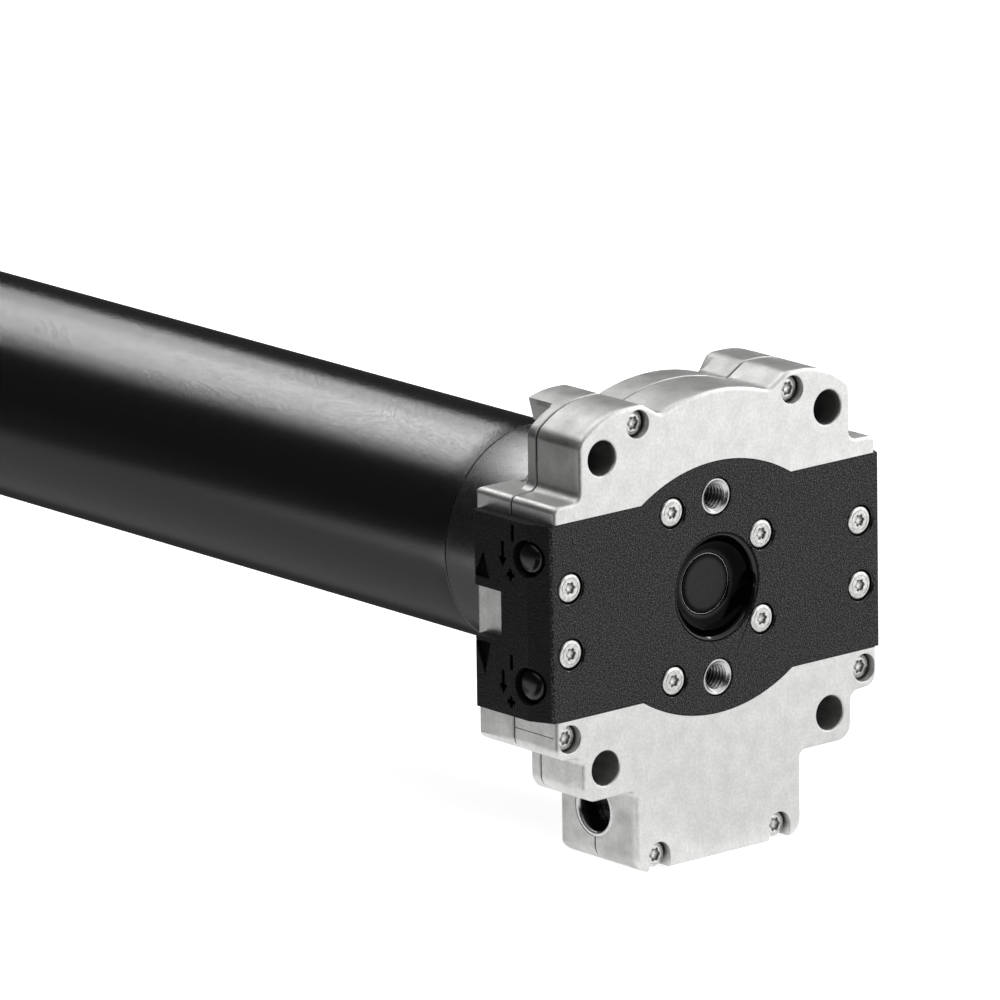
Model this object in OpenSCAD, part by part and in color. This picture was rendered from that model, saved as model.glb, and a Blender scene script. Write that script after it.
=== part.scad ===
// Tubular roller blind motor: a die-cast head with two limit-setting screws and a hand-crank
// override, a crown ring that counts the turns of the blind, and a long tube that holds the
// capacitor, the motor, its brake and a three-stage planetary gearbox.
// The tube's axis is the Y axis. The mounting face of the head is the plane y = 0 and faces -Y,
// +X is to the right of someone who looks at that face, and +Z is up. Sizes are in millimetres.

/* [Head] */
// Radius of the round dome of the head
dome_r = 52.2; // [51.8:0.1:53]
// Half width across the upper and the lower lobes
side_half_w = 46; // [45.5:0.1:47]
// Half width across the step blocks at either side
step_half_w = 54.7; // [54.5:0.1:57]
// Height of the step blocks above the axis
step_top = 30.6; // [30:0.1:31.5]
// Depth of the step blocks below the axis
step_low = 36.3; // [36:0.1:37.5]
// Height of the upper lobes above the axis
lobe_top = 52.6; // [52.4:0.1:54]
// Depth of the lower lobes below the axis
lobe_low = 49.2; // [48.5:0.1:50]
// Half width of the crank block under the head
block_half_w = 28.1; // [28:0.1:30]
// Metal below the crank's axis
block_under = 14.2; // [14:0.1:16]
// Depth of the front casing, from the mounting face to the parting line
front_depth = 17; // [17:0.1:17.6]
// Depth of the rear casing behind the parting line
rear_depth = 14; // [14:0.1:16]
// Thickness of the rear casing's flange round the lobes
flange_t = 3.7; // [3:0.1:5]
// Wall between the head's inner space and the dome
casing_wall = 3; // [2.6:0.1:3.4]
// Thickness of the front wall behind the cover
front_wall = 2.1; // [2:0.1:2.2]

/* [Cover] */
// Thickness of the black cover's front plate
cover_t = 2.5; // [2.2:0.1:2.6]
// How far the cover stands past the step blocks at its front edge
cover_stand = 0.8; // [0.6:0.1:2]
// Half height of the cover at its ends
cover_half_h = 26; // [25:0.1:27]
// Height of the arc in the middle of the cover above its ends
cover_rise = 7.4; // [6:0.1:8]
// Half width of that arc
cover_arc_half_w = 25.5; // [24:0.1:27]
// How far each side of the cover bulges past its front edge
cover_bulge = 3; // [2.4:0.1:4]
// Depth at which the bulge is reached
cover_slant = 6.5; // [5:0.1:8]
// Depth of the cover's sides
cover_depth = 28; // [26:0.1:29]

/* [Mounting] */
// Half the distance between the left and right fixing holes
fix_x = 38.4; // [38:0.1:39]
// Half the distance between the upper and lower fixing holes
fix_z = 40.9; // [40.5:0.1:41.5]
// Radius of the four fixing holes
fix_r = 4.6; // [3.5:0.1:4.8]
// Distance of each threaded insert from the axis
insert_z = 24; // [23.6:0.1:24.4]
// Core radius of the inserts' M8 thread
insert_core_r = 3.4; // [3:0.1:3.6]
// Outer radius of the inserts
insert_r = 5; // [4.6:0.1:5.2]
// Radius of the hand crank's way in
crank_r = 5.8; // [5.5:0.1:6]
// Radius of the cable's way in
cable_r = 4; // [3:0.1:4.5]

/* [Tube] */
// Radius of the motor tube and of the crown ring
tube_r = 29.5; // [29.3:0.1:30.5]
// Wall of the motor tube
tube_wall = 1.5; // [1.2:0.1:1.8]
// Length of the crown ring, from the head to the tube
crown_len = 42; // [35:0.5:60]
// Length of the capacitor
cap_len = 96; // [70:1:120]
// Radius of the capacitor
cap_r = 20; // [15:0.5:24]
// Length of the stator and rotor cores
core_len = 120; // [80:1:160]
// Depth of the stator's iron, from the tube to the rotor
stator_depth = 12.8; // [12:0.1:13.4]
// Radius of the rotor's shaft
shaft_r = 5; // [4:0.1:5.5]
// Radius of the output shaft
output_r = 9; // [8:0.1:10]
// Length of the output shaft outside the tube
output_len = 32; // [20:1:45]

/* [Gears] */
// Module of the main gear and its pinion
drive_module = 1.5; // [1.48:0.01:1.52]
// Teeth of the main gear on the drive hub
main_teeth = 40; // [39:1:40]
// Teeth of the lay shaft's pinion
pinion_teeth = 12; // [12:1:13]
// Teeth of the crank's worm wheel, whose module is 1
wheel_teeth = 25; // [24:1:26]
// Pitch radius of the crank's worm
worm_r = 5.8; // [5.6:0.1:6]
// Module of the crown's gear train
crown_module = 0.75; // [0.74:0.01:0.76]
// Teeth of the crown gear
crown_teeth = 70; // [69:1:71]
// Teeth of the transfer gear that it turns
transfer_teeth = 27; // [26:1:28]
// Teeth of the two cam wheels
cam_teeth = 20; // [20:1:21]
// Teeth of the two trim wheels under them
trim_teeth = 16; // [15:1:16]
// Pitch radius of the worms on the limit screws
trim_worm_r = 2.2; // [2.1:0.1:2.3]
// Distance of the limit screws above and below the axis
limit_z = 16.8; // [16.8:0.1:17]
// Distance of the limit screws behind the mounting face
limit_y = 6.9; // [6.8:0.1:7.2]
// Wall of the gearbox ring behind its teeth
ring_wall = 2.9; // [2.4:0.1:3.6]
// Lengths of the teeth in the gearbox's three stages
stage_len = [12, 18, 26]; // [8:1:40]
// Teeth of each sun
sun_teeth = 12; // [12]
// Teeth of each planet
planet_teeth = 18; // [18]

/* [Clearances] */
// Radial gap of a shaft in its bearing
run_gap = 0.06; // [0.03:0.01:0.09]
// Gap between pieces that pass each other
pass_gap = 0.3; // [0.25:0.05:0.4]
// Gap round a moulded piece in its recess
fit_gap = 0.1; // [0.05:0.01:0.15]
// Play between meshed teeth at the pitch circle
backlash = 0.14; // [0.1:0.01:0.16]

/* [Hidden] */
$fn = 48;
over = 1;

// Widest step of a rounded corner, in degrees, and the farthest its chords leave the true arc
arc_step = 9;
arc_sag = 0.02;

// Head outline and screws
dome_edge_x = 17.2;
shoulder_run = 9.4;
shoulder_drop = 6.45;
shoulder_r = 25;
cavity_r = dome_r - casing_wall;
rib_turn = 52;
wall_y = cover_t + front_wall;
head_depth = front_depth + rear_depth;
dome_depth = head_depth - 4;
rear_half_w = 37;
nut_room = 9;
screw_pocket_r = 3.7;
screw_pocket_depth = 4.5;
casing_screw_r = 2;
casing_screw_grip = 7;
cover_screw_r = 1.6;
cover_head_r = 3.75;
counterbore_r = 4.5;
counterbore_depth = 1.2;
side_screw_x = step_half_w - 5.3;
cover_half_w = step_half_w + cover_stand;
side_screw_z = 8.7;
lobe_screw_x = 26.3;
left_screws = [14.8, 22.3];
right_screws = [15.5, 11.3];

// Gear sizes, each from its module and its teeth
worm_module = 1;
tip_share = 0.75;
root_share = 1.1;
main_r = drive_module * main_teeth / 2;
pinion_r = drive_module * pinion_teeth / 2;
wheel_r = worm_module * wheel_teeth / 2;
lay_z = -(main_r + pinion_r);
crank_z = lay_z - wheel_r - worm_r;
block_low = block_under - crank_z;
crown_gear_r = crown_module * crown_teeth / 2;
transfer_r = crown_module * transfer_teeth / 2;
transfer_x = -(crown_gear_r + transfer_r);
cam_pinion_teeth = 12;
cam_pinion_r = crown_module * cam_pinion_teeth / 2;
cam_r = crown_module * cam_teeth / 2;
trim_r = crown_module * trim_teeth / 2;
cam_z = limit_z - trim_worm_r - trim_r;
cam_x = transfer_x + sqrt(pow(cam_pinion_r + cam_r, 2) - cam_z * cam_z);
cam_tip_r = cam_r + tip_share * crown_module;

// Places along Y inside the head, from the front to the rear
bush_r = 14.25;
bush_end = wall_y + 4.4;
journal_r = 8;
drum_r = 12.4;
ring_r = 13;
brush_gap = 1.6;
brush_half_h = 8;
trim_t = 3;
trim_worm_tip = trim_worm_r + tip_share * crown_module;
cam_y0 = limit_y + trim_worm_tip + pass_gap;
cam_disc_t = 0.8;
cam_gear_t = 2.2;
cam_end = cam_y0 + cam_disc_t + cam_gear_t;
bearing_y = cam_end + 2 * pass_gap;
drum_end = bearing_y - 0.2;
hub_r = 20;
bearing_r = 24;
boss_r = bearing_r + 4.5;
wheel_half_t = 3;
pinion_y0 = front_depth + wheel_half_t + 0.5;
pinion_t = 5;
gear_room = 0.4;
crown_y0 = pinion_y0 + pinion_t + 0.7;
crown_t = 2.4;
crown_room = 0.3;
rear_wall_y = crown_y0 + crown_t + crown_room;
hub_neck_r = 21.35;
crown_neck_r = 24;
cam_pin_r = 1.5;
arbor_r = 1.5;
lay_r = 4;
limit_shaft_r = 2;
knob_r = 4.1;
knob_room_r = 4.9;
worm_half_len = 7;
trim_worm_half_len = 3.4;
crank_bush_r = 7.4;
crank_bush_len = 13.6;
crank_entry_len = 7;
worm_neck_r = crank_r - 0.3;
worm_room_r = 7.6;
cable_y = head_depth / 2;

// Places along Y behind the head
crown_y = head_depth + pass_gap;
crown_flange_t = 2;
crown_shell = 2.5;
tube_y = crown_y + crown_len + pass_gap;
tube_in = tube_r - tube_wall;
rotor_r = tube_in - stator_depth;
sleeve_r = tube_r - crown_shell - run_gap;
spigot_len = 26;
wiring_room = 10;
cap_y = tube_y + spigot_len + wiring_room;
cradle_len = 14;
shield_t = 9;
end_turn = 14;
front_shield_y = cap_y + cap_len + 2 * wiring_room;
core_y = front_shield_y + shield_t + end_turn + 2;
rear_shield_y = core_y + core_len + end_turn + 2;
bearing_len = 6;
ball_r = 11;
vent_r = 2.5;
brake_y = rear_shield_y + shield_t + 3;
magnet_len = 20;
armature_t = 3;
armature_travel = 0.5;
disc_t = 4;
disc_y = brake_y + magnet_len + armature_travel + armature_t + pass_gap;
gearbox_y = disc_y + disc_t + 10;
plate_t = 4;
stage_gap = 1;
stage_y = [
    gearbox_y + 6,
    gearbox_y + 6 + stage_len[0] + plate_t + 2 * stage_gap,
    gearbox_y + 6 + stage_len[0] + stage_len[1] + 2 * plate_t + 4 * stage_gap
];
gearbox_end = stage_y[2] + stage_len[2] + plate_t + 3 * stage_gap;
flange_len = 40;
flange_y = gearbox_end + 2;
flange_end = flange_y + flange_len;
cap_rim = 6;
output_end = flange_end + cap_rim + output_len;
output_journal_r = output_r + 0.6;
output_bearing_r = output_journal_r + 5.4;
output_thread_r = 2.5;
output_thread_len = 18;

// Planetary gearbox, the same teeth in each stage
ring_teeth = sun_teeth + 2 * planet_teeth;
planet_module = (tube_in - ring_wall) / (ring_teeth / 2 + root_share);
sun_r = planet_module * sun_teeth / 2;
planet_r = planet_module * planet_teeth / 2;
planet_pin_r = 3;
planet_turn = [90, 210, 330];
sun_bore_r = 3;

// Unit vector along v
function unit(v) = v / norm(v);

// Arc of radius r that rounds the corner b between the points a and c
function corner_arc(a, b, c, r) =
    let (
        u = unit(a - b),
        v = unit(c - b),
        turn = acos(u * v),
        reach = r / tan(turn / 2),
        middle = b + unit(u + v) * r / sin(turn / 2),
        from = b + u * reach - middle,
        to = b + v * reach - middle,
        a0 = atan2(from[1], from[0]),
        step = atan2(to[1], to[0]) - a0,
        sweep = step > 180 ? step - 360 : step < -180 ? step + 360 : step,
        n = max(3, ceil(abs(sweep) / min(arc_step, 2 * acos(1 - arc_sag / r))))
    )
    [for (i = [0 : n]) middle + r * [cos(a0 + sweep * i / n), sin(a0 + sweep * i / n)]];

// Outline through corners given as [x, z, radius]
function rounded(corners) =
    let (n = len(corners), at = function (i) [corners[i % n][0], corners[i % n][1]])
    [for (i = [0 : n - 1])
        each corners[i][2] > 0
            ? corner_arc(at(i + n - 1), at(i), at(i + 1), corners[i][2])
            : [at(i)]];

// Angle whose involute starts at the base circle, in degrees
function involute(r, base) = r <= base ? 0 : tan(acos(base / r)) * 180 / PI - acos(base / r);

// Half the angle of one tooth at radius r
function tooth_half(m, z, r, slack) =
    let (pitch = m * z / 2, base = pitch * cos(20))
    90 / z - slack / pitch * 90 / PI + involute(pitch, base) - involute(max(r, base), base);

// Radii of the four points on each flank
function flank_radii(m, z, tip, root) =
    let (pitch = m * z / 2, low = pitch - root * m, high = pitch + tip * m, base = pitch * cos(20))
    base > low + 0.1 ? [low, base, (base + high) / 2, high]
        : [low, (2 * low + high) / 3, (low + 2 * high) / 3, high];

// Outline of an involute gear with one tooth's middle at the angle phase
function gear_points(m, z, phase, slack, tip = tip_share, root = root_share) =
    let (radii = flank_radii(m, z, tip, root))
    [for (i = [0 : z - 1], k = [0 : 7])
        let (
            r = radii[k < 4 ? k : 7 - k],
            side = k < 4 ? -1 : 1,
            angle = phase + 360 * i / z + side * tooth_half(m, z, r, slack)
        )
        r * [cos(angle), sin(angle)]];

// Phase that puts gear b in mesh with gear a, when b lies in the direction dir from a
function mesh_phase(phase_a, teeth_a, teeth_b, dir) =
    dir + 180 - ((phase_a - dir) * teeth_a / 360 + 0.5) * 360 / teeth_b;

// Extrusion from y0 to y1 of an outline drawn in x and z
module slab(y0, y1) {
    translate([0, y1, 0]) rotate([90, 0, 0]) linear_extrude(height = y1 - y0) children();
}

// Cylinder along Y
module rod(y0, y1, r, x = 0, z = 0) {
    slab(y0, y1) translate([x, z]) circle(r = r);
}

// Cylinder along X
module rod_x(x0, x1, r, y, z) {
    translate([x0, y, z]) rotate([0, 90, 0]) cylinder(h = x1 - x0, r = r);
}

// Ring along Y
module ring(y0, y1, outer, inner) {
    slab(y0, y1) difference() {
        circle(r = outer);
        circle(r = inner);
    }
}

// Extrusion across the head, half_w to either side, of an outline drawn in y and z
module across(half_w) {
    translate([-half_w, 0, 0]) rotate([90, 0, 90]) linear_extrude(height = 2 * half_w) children();
}

// Box between two corners
module box(low, high) {
    translate(low) cube(high - low);
}

// Both mirror images of a shape to the left and right
module left_and_right() {
    children();
    mirror([1, 0, 0]) children();
}

// Both mirror images of a shape above and below
module above_and_below() {
    children();
    mirror([0, 0, 1]) children();
}

// Spur gear from y0 to y1 with a round bore
module spur(y0, y1, m, z, phase, bore) {
    slab(y0, y1) difference() {
        polygon(gear_points(m, z, phase, backlash));
        circle(r = bore);
    }
}

// Wheel of a worm, whose teeth lean like the thread of a worm with pitch radius mate_r
module leaning_wheel(y0, y1, m, z, phase, mate_r, bore) {
    lean = (m / 2 / mate_r) * (y1 - y0) / 2 / (m * z / 2) * 180 / PI;
    difference() {
        translate([0, y1, 0]) rotate([90, 0, 0])
            linear_extrude(height = y1 - y0, twist = -2 * lean, slices = 2)
                rotate(-lean) polygon(gear_points(m, z, phase, backlash));
        rod(y0 - over, y1 + over, bore);
    }
}

// Thread of a worm along X, centred on the angle at where it meets its wheel
module worm_thread(m, pitch_r, half_len, at) {
    lead = PI * m;
    turns = 2 * half_len / lead;
    steps = ceil(turns * 20);
    low = pitch_r - root_share * m - 0.2;
    high = pitch_r + tip_share * m;
    half = (lead / 2 - backlash) / 2;
    wide = half + (pitch_r - low) * tan(20);
    narrow = half - (high - pitch_r) * tan(20);
    section = [[-wide, low], [-narrow, high], [narrow, high], [wide, low]];
    points = [for (i = [0 : steps], p = section)
        let (angle = at + 360 * turns * (i / steps - 0.5), x = lead * (angle - at) / 360)
        [x + p[0], p[1] * cos(angle), p[1] * sin(angle)]];
    sides = [for (i = [0 : steps - 1], k = [0 : 3])
        let (a = 4 * i + k, b = 4 * i + (k + 1) % 4)
        each [[a, b, b + 4], [a, b + 4, a + 4]]];
    last = 4 * steps;
    polyhedron(points, concat(sides, [[3, 2, 1, 0], [last, last + 1, last + 2, last + 3]]));
}

// Outline of both casings, its right half mirrored to the left
function head_right() =
    let (
        edge = asin(dome_edge_x / dome_r),
        slope = [cos(edge), -sin(edge)],
        valley = dome_r * [sin(edge), cos(edge)] + 1.2 * slope
    )
    [
        [valley[0], valley[1], 3],
        [24.6, lobe_top, 5],
        [side_half_w - shoulder_run, lobe_top, shoulder_r],
        [side_half_w, lobe_top - shoulder_drop, 4.5],
        [side_half_w, step_top + 0.2, 2.5],
        [step_half_w, step_top, 1.8],
        [step_half_w, -step_low, 3.5],
        [side_half_w, -step_low - 0.5, 2.5],
        [side_half_w, -lobe_low, 4.5],
        [block_half_w, -lobe_low, 2],
        [block_half_w, -block_low, 4.5]
    ];

module head_outline() {
    right = head_right();
    n = len(right);
    apex = dome_r / cos(asin(dome_edge_x / dome_r));
    left = [for (i = [n - 1 : -1 : 0]) [-right[i][0], right[i][1], right[i][2]]];
    polygon(rounded(concat([[0, apex, dome_r]], right, left)));
}

// Centres, in x and z, of the cover's eight screws and the casings' six screws
function cover_screw_places() = [
    for (x = [-side_screw_x, side_screw_x], z = [-side_screw_z, side_screw_z]) [x, z],
    for (z = [-1, 1]) [-left_screws[0], z * left_screws[1]],
    for (z = [-1, 1]) [right_screws[0], z * right_screws[1]]
];
function casing_screw_places() = [
    for (s = [-1, 1])
        each [
            [s * lobe_screw_x, lobe_top - 4.9],
            [s * (step_half_w - 4.3), -(step_low - 5.3)],
            [s * (block_half_w - 7.5), -(block_low - screw_pocket_r)]
        ]
];

module fixing_holes(r) {
    for (x = [-fix_x, fix_x], z = [-fix_z, fix_z]) translate([x, z]) circle(r = r);
}

// Outline of the cover's front plate, grown by extra
module cover_outline(extra = 0) {
    arc_r = (pow(cover_arc_half_w, 2) + pow(cover_rise, 2)) / (2 * cover_rise);
    square([2 * (cover_half_w + extra), 2 * (cover_half_h + extra)], center = true);
    for (s = [-1, 1])
        intersection() {
            translate([0, s * (cover_half_h + cover_rise - arc_r)]) circle(r = arc_r + extra, $fn = 96);
            translate([0, s * cover_half_h / 2 + s * cover_rise])
                square([2 * cover_arc_half_w + 2 * extra, cover_half_h + 2 * cover_rise], center = true);
        }
}

// Inner space of the front casing, with the hub's boss, the screw bosses and four ribs left standing
module front_space() {
    difference() {
        circle(r = cavity_r);
        circle(r = boss_r);
        for (s = [-1, 1]) translate([0, s * insert_z]) circle(r = insert_r + 2.5);
        translate([0, lay_z]) circle(r = lay_r + 3);
        for (at = cover_screw_places()) translate(at) circle(r = cover_screw_r + 2);
        for (a = [rib_turn, 180 - rib_turn, 180 + rib_turn, 360 - rib_turn])
            rotate(a) translate([0, -1.2]) square([cavity_r + over, 2.4]);
        fixing_holes(fix_r + 2.6);
    }
}

// Pockets for the cam wheels, the worm wheel and the transfer pinion, cut through the boss
module wheel_pockets() {
    for (s = [-1, 1]) rod(wall_y, cam_end + pass_gap, cam_tip_r + 0.6, cam_x, s * cam_z);
    rod(front_depth - wheel_half_t - gear_room, front_depth + over, wheel_r + 1.5, 0, lay_z);
    rod(wall_y, cam_end + pass_gap, cam_pinion_r + 1.2, transfer_x);
}

module front_casing() {
    color([0.78, 0.78, 0.77]) difference() {
        slab(0, front_depth) head_outline();
        slab(-over, cover_t) cover_outline(fit_gap);
        slab(wall_y, front_depth + over) front_space();
        wheel_pockets();
        rod(0, bearing_y, bush_r);
        rod(bearing_y, front_depth + over, bearing_r);
        box([drum_r - 0.4, bush_end, -brush_half_h - fit_gap],
            [boss_r + 2, drum_end, brush_half_h + fit_gap]);
        rod(bush_end - 1, front_depth, lay_r + run_gap, 0, lay_z);
        rod(wall_y - 1.3, wall_y + over, arbor_r + run_gap, transfer_x);
        for (s = [-1, 1]) rod(wall_y - 1.3, wall_y + over, cam_pin_r, cam_x, s * cam_z);
        above_and_below() {
            rod_x(-step_half_w - over, -boss_r + 4, limit_shaft_r + run_gap, limit_y, limit_z);
            rod_x(cam_x - trim_worm_half_len, cam_x + trim_worm_half_len + pass_gap,
                trim_worm_tip + pass_gap / 2, limit_y, limit_z);
            rod(-over, bush_end + 2, insert_r, 0, insert_z);
        }
        slab(-over, front_depth + over) fixing_holes(fix_r);
        for (at = cover_screw_places()) rod(0, cover_t + 7, cover_screw_r, at[0], at[1]);
        for (at = casing_screw_places()) {
            rod(-over, screw_pocket_depth, screw_pocket_r, at[0], at[1]);
            rod(0, front_depth + over, casing_screw_r, at[0], at[1]);
        }
        for (s = [-1, 1])
            box([s * (block_half_w - 7.5) - screw_pocket_r, -over, -block_low - over],
                [s * (block_half_w - 7.5) + screw_pocket_r, screw_pocket_depth,
                    -(block_low - screw_pocket_r)]);
        worm_spaces();
        cable_space();
    }
}

// Seats of the crank bush and the end bearing, and the worm's room between them
module worm_spaces() {
    rod_x(-block_half_w - over, -block_half_w + crank_bush_len, crank_bush_r, front_depth, crank_z);
    rod_x(-block_half_w + crank_bush_len, block_half_w - crank_bush_len, worm_room_r, front_depth, crank_z);
    rod_x(block_half_w - crank_bush_len, block_half_w - 6, crank_bush_r, front_depth, crank_z);
}

// Seat of the cable inlet in the right side
module cable_space() {
    rod_x(step_half_w - 8, step_half_w + over, cable_r + 3, cable_y, 0);
}

// The rear casing's body behind its flange: the dome, the step blocks and the crank block
module rear_body() {
    slab(front_depth, dome_depth) difference() {
        intersection() {
            head_outline();
            union() {
                circle(r = dome_r);
                translate([-rear_half_w, 0]) square([2 * rear_half_w, lobe_top + over]);
            }
        }
        translate([-step_half_w, -block_low]) square([2 * step_half_w, block_low - step_low]);
    }
    intersection() {
        slab(front_depth, head_depth) head_outline();
        across(step_half_w + over) polygon(rounded([
            [front_depth, -step_low - 0.4, 0], [head_depth, -step_low - 0.4, 3],
            [head_depth, step_top + 0.1, 2], [front_depth, step_top + 0.1, 0]
        ]));
    }
    intersection() {
        slab(front_depth, head_depth) head_outline();
        across(block_half_w) polygon(rounded([
            [front_depth, -block_low, 0], [head_depth - 0.5, -block_low, 4.5],
            [head_depth - 0.5, -step_low + over, 0], [front_depth, -step_low + over, 0]
        ]));
    }
}

module rear_casing() {
    color([0.76, 0.76, 0.75]) difference() {
        union() {
            slab(front_depth, front_depth + flange_t) head_outline();
            rear_body();
        }
        slab(front_depth - over, front_depth + flange_t + over) fixing_holes(fix_r);
        slab(front_depth + flange_t, head_depth + over) fixing_holes(nut_room);
        rod(front_depth - over, pinion_y0 + pinion_t + gear_room, main_r + drive_module + 0.6);
        rod(front_depth - over, front_depth + wheel_half_t + gear_room, wheel_r + 1.5, 0, lay_z);
        rod(front_depth - over, pinion_y0 + pinion_t + gear_room, pinion_r + drive_module + 0.4, 0, lay_z);
        rod(pinion_y0, head_depth - 2, lay_r + run_gap, 0, lay_z);
        rod(front_depth - over, rear_wall_y, arbor_r + 0.6, transfer_x);
        rod(rear_wall_y - over, head_depth - 0.8, arbor_r + run_gap, transfer_x);
        rod(crown_y0 - crown_room, rear_wall_y, crown_gear_r + crown_module + 0.3);
        rod(crown_y0 - crown_room, rear_wall_y, transfer_r + crown_module + 0.4, transfer_x);
        rod(rear_wall_y - over, head_depth + over, crown_neck_r + run_gap);
        for (at = casing_screw_places())
            rod(front_depth - over, front_depth + casing_screw_grip + 1, casing_screw_r, at[0], at[1]);
        worm_spaces();
        cable_space();
    }
}

// Side wall of the cover, seen from above, on the right
module cover_side() {
    outer = cover_half_w + cover_bulge;
    inner = step_half_w + fit_gap;
    translate([0, 0, -cover_half_h]) linear_extrude(height = 2 * cover_half_h)
        polygon([
            [inner, 0], [cover_half_w, 0], [outer, cover_slant], [outer, cover_depth - 1],
            [outer - 1, cover_depth], [inner, cover_depth]
        ]);
}

module front_cover() {
    outer = cover_half_w + cover_bulge;
    color([0.09, 0.09, 0.1]) difference() {
        union() {
            slab(0, cover_t) cover_outline();
            left_and_right() cover_side();
        }
        rod(-over, cover_t + over, bush_r + fit_gap);
        above_and_below() rod(-over, cover_t + over, insert_r + fit_gap, 0, insert_z);
        for (at = cover_screw_places()) {
            rod(-over, counterbore_depth, counterbore_r, at[0], at[1]);
            rod(0, cover_t + over, cover_screw_r + fit_gap, at[0], at[1]);
        }
        above_and_below() rod_x(-outer - over, -step_half_w, knob_room_r, limit_y, limit_z);
        rod_x(step_half_w, outer + over, cable_r + 3 + fit_gap, cable_y, 0);
        box([-outer - over, front_depth, -7], [-step_half_w, cover_depth + over, 6.2]);
    }
}

// Round head on a shank, from the front, with a six-sided drive
module screw(head_y, head_t, head_r, shank_r, tip_y) {
    difference() {
        union() {
            rod(head_y, head_y + head_t, head_r);
            rod(head_y + head_t, tip_y, shank_r);
        }
        rotate([90, 0, 0]) translate([0, 0, -head_y - head_t * 0.6])
            cylinder(h = head_t, r = head_r * 0.42, $fn = 6);
    }
}

module cover_screws() {
    color([0.8, 0.8, 0.78])
        for (at = cover_screw_places()) translate([at[0], 0, at[1]])
            screw(0.3, counterbore_depth - 0.3, cover_head_r, cover_screw_r, cover_t + 6);
}

module casing_screws() {
    color([0.8, 0.8, 0.78])
        for (at = casing_screw_places()) translate([at[0], 0, at[1]])
            screw(screw_pocket_depth - 2.6, 2.6, screw_pocket_r - 0.2, casing_screw_r,
                front_depth + casing_screw_grip);
}

module threaded_inserts() {
    color([0.7, 0.7, 0.68]) above_and_below() difference() {
        rod(0.2, bush_end + 2, insert_r, 0, insert_z);
        rod(0, bush_end + 1, insert_core_r, 0, insert_z);
    }
}

module front_bush() {
    color([0.06, 0.06, 0.07]) difference() {
        rod(0.2, bush_end, bush_r);
        rod(0, wall_y, bush_r - 1.6);
        rod(0, bush_end + over, journal_r + run_gap);
    }
}

module crank_bush() {
    color([0.72, 0.72, 0.72]) difference() {
        rod_x(-block_half_w, -block_half_w + crank_bush_len, crank_bush_r, front_depth, crank_z);
        rod_x(-block_half_w - over, -block_half_w + crank_entry_len, crank_r, front_depth, crank_z);
        rod_x(-block_half_w, -block_half_w + crank_bush_len + over, worm_neck_r + run_gap,
            front_depth, crank_z);
    }
}

module worm_end_bearing() {
    color([0.75, 0.62, 0.35]) difference() {
        rod_x(block_half_w - crank_bush_len, block_half_w - 6, crank_bush_r, front_depth, crank_z);
        rod_x(block_half_w - crank_bush_len - over, block_half_w - 7, lay_r + run_gap,
            front_depth, crank_z);
    }
}

module hub_bearing() {
    color([0.75, 0.62, 0.35]) ring(bearing_y, front_depth, bearing_r, hub_r + run_gap);
}

module cam_pins() {
    color([0.7, 0.7, 0.7])
        above_and_below() rod(wall_y - 1.3, cam_end + 0.1, cam_pin_r, cam_x, cam_z);
}

// Two microswitches whose plungers face the cam discs
module limit_switches() {
    low_z = limit_z + 0.8;
    color([0.15, 0.15, 0.16]) above_and_below() {
        box([cam_x - 10, cam_y0, low_z], [cam_x, front_depth, low_z + 6]);
        translate([cam_x - 2, cam_y0 + cam_disc_t / 2, cam_z + cam_tip_r + pass_gap])
            cylinder(h = low_z - cam_z - cam_tip_r - pass_gap + 0.5, r = 0.4);
    }
}

// Holder with three brass brushes that face the slip rings
module brush_block() {
    color([0.2, 0.12, 0.08])
        box([ring_r + brush_gap, bush_end, -brush_half_h], [boss_r + 2, drum_end, brush_half_h]);
    color([0.8, 0.65, 0.3])
        for (i = [-1, 0, 1])
            box([ring_r + pass_gap, brush_y(i) - 0.3, -2.5],
                [ring_r + brush_gap, brush_y(i) + 0.3, 2.5]);
}

// Y of brush and slip ring i, which is -1, 0 or 1
function brush_y(i) = (bush_end + drum_end) / 2 + i * 1.1;

module cable_inlet() {
    color([0.07, 0.07, 0.08]) difference() {
        rod_x(step_half_w - 8, cover_half_w + cover_bulge, cable_r + 3, cable_y, 0);
        rod_x(step_half_w - 6, step_half_w + 10, cable_r, cable_y, 0);
    }
}

module crank_worm() {
    neck = -block_half_w + crank_entry_len + pass_gap;
    color([0.6, 0.6, 0.62]) difference() {
        union() {
            rod_x(neck, -worm_half_len - 0.6, worm_neck_r, front_depth, crank_z);
            rod_x(-worm_half_len - 0.6, worm_half_len + 0.6, worm_r - root_share, front_depth, crank_z);
            rod_x(worm_half_len + 0.6, block_half_w - 7.5, lay_r, front_depth, crank_z);
            translate([0, front_depth, crank_z])
                worm_thread(worm_module, worm_r, worm_half_len - 1.2, 90);
        }
        translate([neck - over, front_depth, crank_z]) rotate([0, 90, 0])
            cylinder(h = 9, r = 3.5 / cos(30), $fn = 6);
    }
}

module worm_wheel() {
    color([0.78, 0.64, 0.35]) translate([0, 0, lay_z])
        leaning_wheel(front_depth - wheel_half_t, front_depth + wheel_half_t, worm_module, wheel_teeth,
            -90 + 180 / wheel_teeth, worm_r, lay_r);
}

module lay_shaft() {
    color([0.6, 0.6, 0.62]) {
        rod(bush_end, head_depth - 2.2, lay_r, 0, lay_z);
        translate([0, 0, lay_z])
            spur(pinion_y0, pinion_y0 + pinion_t, drive_module, pinion_teeth, 0, lay_r - 0.5);
    }
}

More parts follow.
